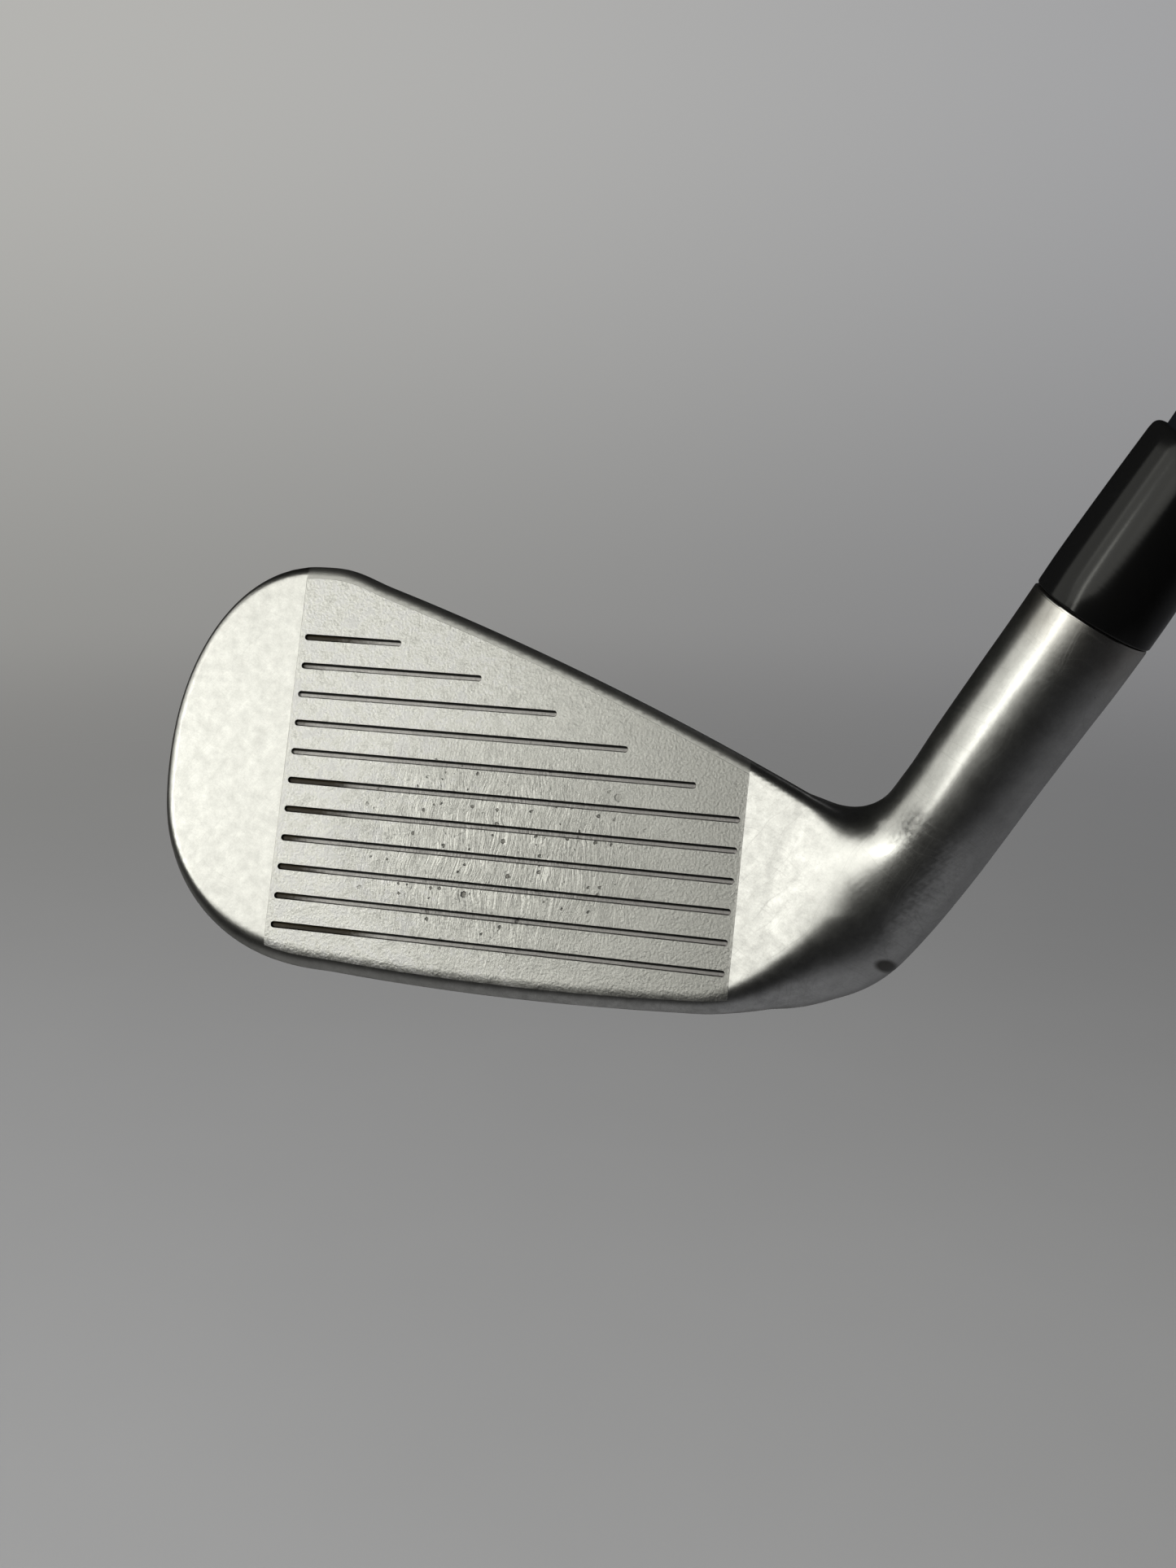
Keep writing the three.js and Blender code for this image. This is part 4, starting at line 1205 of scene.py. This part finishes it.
def build_grip():
    """Sleeve with a plain rim at each end and sunk ground between its pads."""
    def ground(along):
        """Radius of the ground between the pads."""
        sunk = PAD_RISE * (smooth(PADS_FROM - 6, PADS_FROM - 3, along)
                           - smooth(PADS_TO + 3, PADS_TO + 6, along))
        return grip_radius(along) - float(sunk)

    stations = np.concatenate([np.linspace(712, PADS_FROM, 12), np.linspace(740, 940, 30),
                               np.linspace(PADS_TO - 4, SHAFT_END - 0.4, 12)])
    outer = rounded(GRIP_MOUTH_R - 1.2, GRIP_MOUTH + 1.2, 1.2, -90, 0, 7)
    outer += [(ground(s), s) for s in stations]
    outer += [(grip_radius(SHAFT_END) - 0.4, SHAFT_END)]
    inner = [(shaft_radius(s) + 0.36, s) for s in (SHAFT_END, GRIP_MOUTH)]
    finish_piece(lathe("grip_fine", outer + inner, RUBBER), "grip_rubber", "grip")
    finish_piece(grip_pads(), "grip_rubber")


def grip_pads():
    """Staggered six-sided traction pads, wrapped round the tapering grip."""
    rows = 52
    sizes = {"Rows": rows, "Columns": 20, "First Row": PADS_FROM, "Last Row": PADS_TO,
             "Rise": PAD_RISE, "Root": 0.12, "Mouth At": GRIP_MOUTH,
             "Mouth Radius": GRIP_MOUTH_R, "Butt Radius": GRIP_BUTT_R,
             "Grip Length": CLUB_LENGTH - GRIP_MOUTH, "Swell": GRIP_SWELL, "Fill": 0.8,
             "Material": RUBBER}
    tree, given = geometry_tree("grip pads", sizes)
    index = tree.nodes.new("GeometryNodeInputIndex").outputs[0]
    row = chain(tree, "FLOOR", ratio(tree, index, given["Columns"]))
    column = chain(tree, "FLOORED_MODULO", index, given["Columns"])
    stagger = times(tree, chain(tree, "FLOORED_MODULO", row, 2.0), 0.5)
    step = ratio(tree, 2 * math.pi, given["Columns"])
    angle = times(tree, plus(tree, column, stagger), step)
    span = minus(tree, given["Last Row"], given["First Row"])
    pitch = ratio(tree, span, minus(tree, given["Rows"], 1.0))
    along = plus(tree, given["First Row"], times(tree, row, pitch))
    spot = put(tree, "ShaderNodeCombineXYZ", {0: angle, 1: along}).outputs[0]
    count = times(tree, given["Rows"], given["Columns"])
    points = put(tree, "GeometryNodePoints", {"Count": count, "Position": spot}).outputs[0]
    pad = put(tree, "GeometryNodeMeshCone",
              {"Vertices": 6, "Radius Top": 0.72, "Radius Bottom": 1.0, "Depth": 1.0})
    size = put(tree, "ShaderNodeCombineXYZ", {
        0: times(tree, step, given["Fill"], 0.5),
        1: times(tree, pitch, given["Fill"], 0.98),
        2: plus(tree, given["Rise"], given["Root"])}).outputs[0]
    pads = put(tree, "GeometryNodeInstanceOnPoints",
               {"Points": points, "Instance": pad.outputs[0], "Scale": size}).outputs[0]
    real = put(tree, "GeometryNodeRealizeInstances", {0: pads}).outputs[0]
    place = tree.nodes.new("GeometryNodeInputPosition").outputs[0]
    turn, up, height = axis_of(tree, place)
    share = ratio(tree, minus(tree, up, given["Mouth At"]), given["Grip Length"])
    swell = times(tree, chain(tree, "POWER", share, given["Swell"]),
                  minus(tree, given["Butt Radius"], given["Mouth Radius"]))
    radius = plus(tree, given["Mouth Radius"], swell, height,
                  times(tree, plus(tree, given["Rise"], given["Root"]), -1.0))
    wrapped = put(tree, "ShaderNodeCombineXYZ", {
        0: times(tree, radius, chain(tree, "COSINE", turn)),
        1: times(tree, radius, chain(tree, "SINE", turn)), 2: up}).outputs[0]
    bent = put(tree, "GeometryNodeSetPosition", {"Geometry": real, "Position": wrapped}).outputs[0]
    end_tree(tree, bent, given["Material"])
    piece = run_tree("grip_pads", tree, sizes)
    make_outward(piece)
    turn_into_place(piece, SHAFT_TURN, AXIS_ON_GROUND)
    return piece


def build_grip_cap():
    """Domed cap with a vent hole, a rounded rim and a shallow dish."""
    base, sunk = CLUB_LENGTH - CAP_THICK, CLUB_LENGTH - CAP_DISH
    rim = rounded(CAP_R - CAP_ROUND, CLUB_LENGTH - CAP_ROUND, CAP_ROUND, 0, 90, 10)
    dish = [(11.0, CLUB_LENGTH), (10.6, sunk), (3.6, sunk), (3.2, CLUB_LENGTH)]
    vent = [(CAP_VENT_R + CAP_DISH, CLUB_LENGTH), (CAP_VENT_R, sunk), (CAP_VENT_R, base)]
    foot = [(CAP_R - 0.8, base), (CAP_R - 0.3, base + 0.2), (CAP_R, base + 0.9)]
    profile = [*foot, *rim, *dish, *vent]
    finish_piece(lathe("grip_cap_fine", profile, RUBBER), "grip_rubber", "grip_cap")


def paint_cad_nodes():
    """Gives the carried-over CAD nodes their finishes."""
    for name, material in CAD_FINISHES.items():
        mesh = bpy.data.objects[name].data
        mesh.materials.clear()
        mesh.materials.append(material)


# ---- camera, light and stage ------------------------------------------------------------

FOCAL_LENGTH = 41.6
SENSOR = 36.0
CAMERA_AIM, CAMERA_DISTANCE = Vector((9.64, 1.56, 4.07)), 210.3
CAMERA_AZIMUTH, CAMERA_ELEVATION, CAMERA_ROLL = map(math.radians, (14.44, 15.91, -0.94))
WARM_WHITE = (1.0, 0.995, 0.92)


def aim_camera():
    """Close view of the face from the heel side, a little above, 210 mm away."""
    level_reach = math.cos(CAMERA_ELEVATION)
    forward = Vector((-math.sin(CAMERA_AZIMUTH) * level_reach,
                      math.cos(CAMERA_AZIMUTH) * level_reach, -math.sin(CAMERA_ELEVATION)))
    data = bpy.data.cameras.new("camera")
    data.lens = FOCAL_LENGTH
    data.sensor_width = SENSOR
    data.clip_start = 0.01
    camera = bpy.data.objects.new("camera", data)
    camera.location = (CAMERA_AIM - CAMERA_DISTANCE * forward) * MM
    level = forward.to_track_quat("-Z", "Y")
    camera.rotation_mode = "QUATERNION"
    camera.rotation_quaternion = level @ Matrix.Rotation(-CAMERA_ROLL, 3, "Z").to_quaternion()
    bpy.context.scene.collection.objects.link(camera)
    bpy.context.scene.camera = camera


def softbox(name, azimuth, elevation, distance, width, height, power, colour=(1, 1, 1)):
    """An area light in a given direction from the head, facing it."""
    azimuth, elevation = math.radians(azimuth), math.radians(elevation)
    place = distance * Vector((math.sin(azimuth) * math.cos(elevation),
                               -math.cos(azimuth) * math.cos(elevation), math.sin(elevation)))
    data = bpy.data.lights.new(name, "AREA")
    data.shape = "RECTANGLE"
    data.size = width
    data.size_y = height
    data.energy = power
    data.color = colour
    light = bpy.data.objects.new(name, data)
    light.location = place
    light.rotation_euler = (-place).to_track_quat("-Z", "Y").to_euler()
    light.visible_camera = False
    bpy.context.scene.collection.objects.link(light)
    return light


def set_world():
    """Pale wall behind the club; what the metal reflects is dark, and grey low down behind."""
    world = bpy.data.worlds.new("studio")
    world.use_nodes = True
    nodes, links = world.node_tree.nodes, world.node_tree.links
    tree = world.node_tree
    heading = put(tree, "ShaderNodeTexCoord").outputs["Generated"]
    x, y, z = axis_of(tree, heading)
    wall = between(tree, z, -0.27, 0.12, 0.265, 0.44)
    wall = times(tree, wall, between(tree, x, -0.6, 0.35, 1.05, 0.76))
    behind = times(tree, between(tree, z, 0.0, -0.4),
                   between(tree, y, -0.45, 0.35, 0.005, 0.085))
    below = chain(tree, "MAXIMUM", behind, between(tree, z, -0.5, -0.9, 0.0, 0.13))
    around = plus(tree, 0.006, below)
    seen = put(tree, "ShaderNodeLightPath").outputs["Is Camera Ray"]
    level = put(tree, "ShaderNodeMix", {0: seen, 2: around, 3: wall}, data_type="FLOAT").outputs[0]
    links.new(level, nodes["Background"].inputs["Strength"])
    hue = tint(tree, between(tree, x, -0.6, 0.3), (1.0, 0.99, 0.95), (0.98, 0.985, 1.02))
    links.new(hue, nodes["Background"].inputs["Color"])
    bpy.context.scene.world = world


FLOOR_HEIGHT = -0.6


def lay_floor():
    """Wide pale floor that fades into the pale surroundings at its rim."""
    floor = bpy.data.materials.new("studio_floor")
    floor.use_nodes = True
    tree = floor.node_tree
    shader = tree.nodes["Principled BSDF"]
    shader.inputs["Roughness"].default_value = 0.9
    shader.inputs["Specular IOR Level"].default_value = 0.1
    place = put(tree, "ShaderNodeTexCoord").outputs["Object"]
    away = put(tree, "ShaderNodeVectorMath", {0: place}, operation="LENGTH").outputs["Value"]
    shade = cloud(tree, place, 3.0, 4.0)
    tree.links.new(tint(tree, shade, (0.56, 0.56, 0.56), (0.62, 0.62, 0.62)),
                   shader.inputs["Base Color"])
    tree.links.new(between(tree, away, 1.1, 3.4, 1.0, 0.0), shader.inputs["Alpha"])
    turn = np.linspace(0, 2 * math.pi, 96, endpoint=False)
    rim = [(3.5 * math.cos(t), 3.5 * math.sin(t), FLOOR_HEIGHT) for t in turn]
    sheet = new_object("studio_floor", rim, [tuple(range(96))], floor)
    sheet.visible_glossy = False


def overhead():
    """Broad light for the floor and the black pieces; it draws no reflection."""
    light = softbox("overhead", -70, 58, 2.6, 2.4, 2.4, 66)
    light.visible_glossy = False


aim_camera()
set_world()
softbox("key_softbox", -30, 25, 0.7, 0.8, 0.42, 1.25, WARM_WHITE)
softbox("key_core", -12, 25, 0.69, 0.2, 0.3, 0.04, WARM_WHITE)
softbox("key_strip", -42, 12, 0.68, 0.05, 0.3, 0.2, WARM_WHITE)
softbox("rear_right_softbox", 135, 32, 1.3, 0.7, 0.7, 0.5)
softbox("toe_side_softbox", -78, 22, 0.7, 0.42, 0.42, 0.36, WARM_WHITE)
overhead()
lay_floor()
bpy.context.scene.view_settings.view_transform = "Standard"

build_head_and_plate()
build_ferrule()
build_shaft()
build_grip()
build_grip_cap()
paint_cad_nodes()
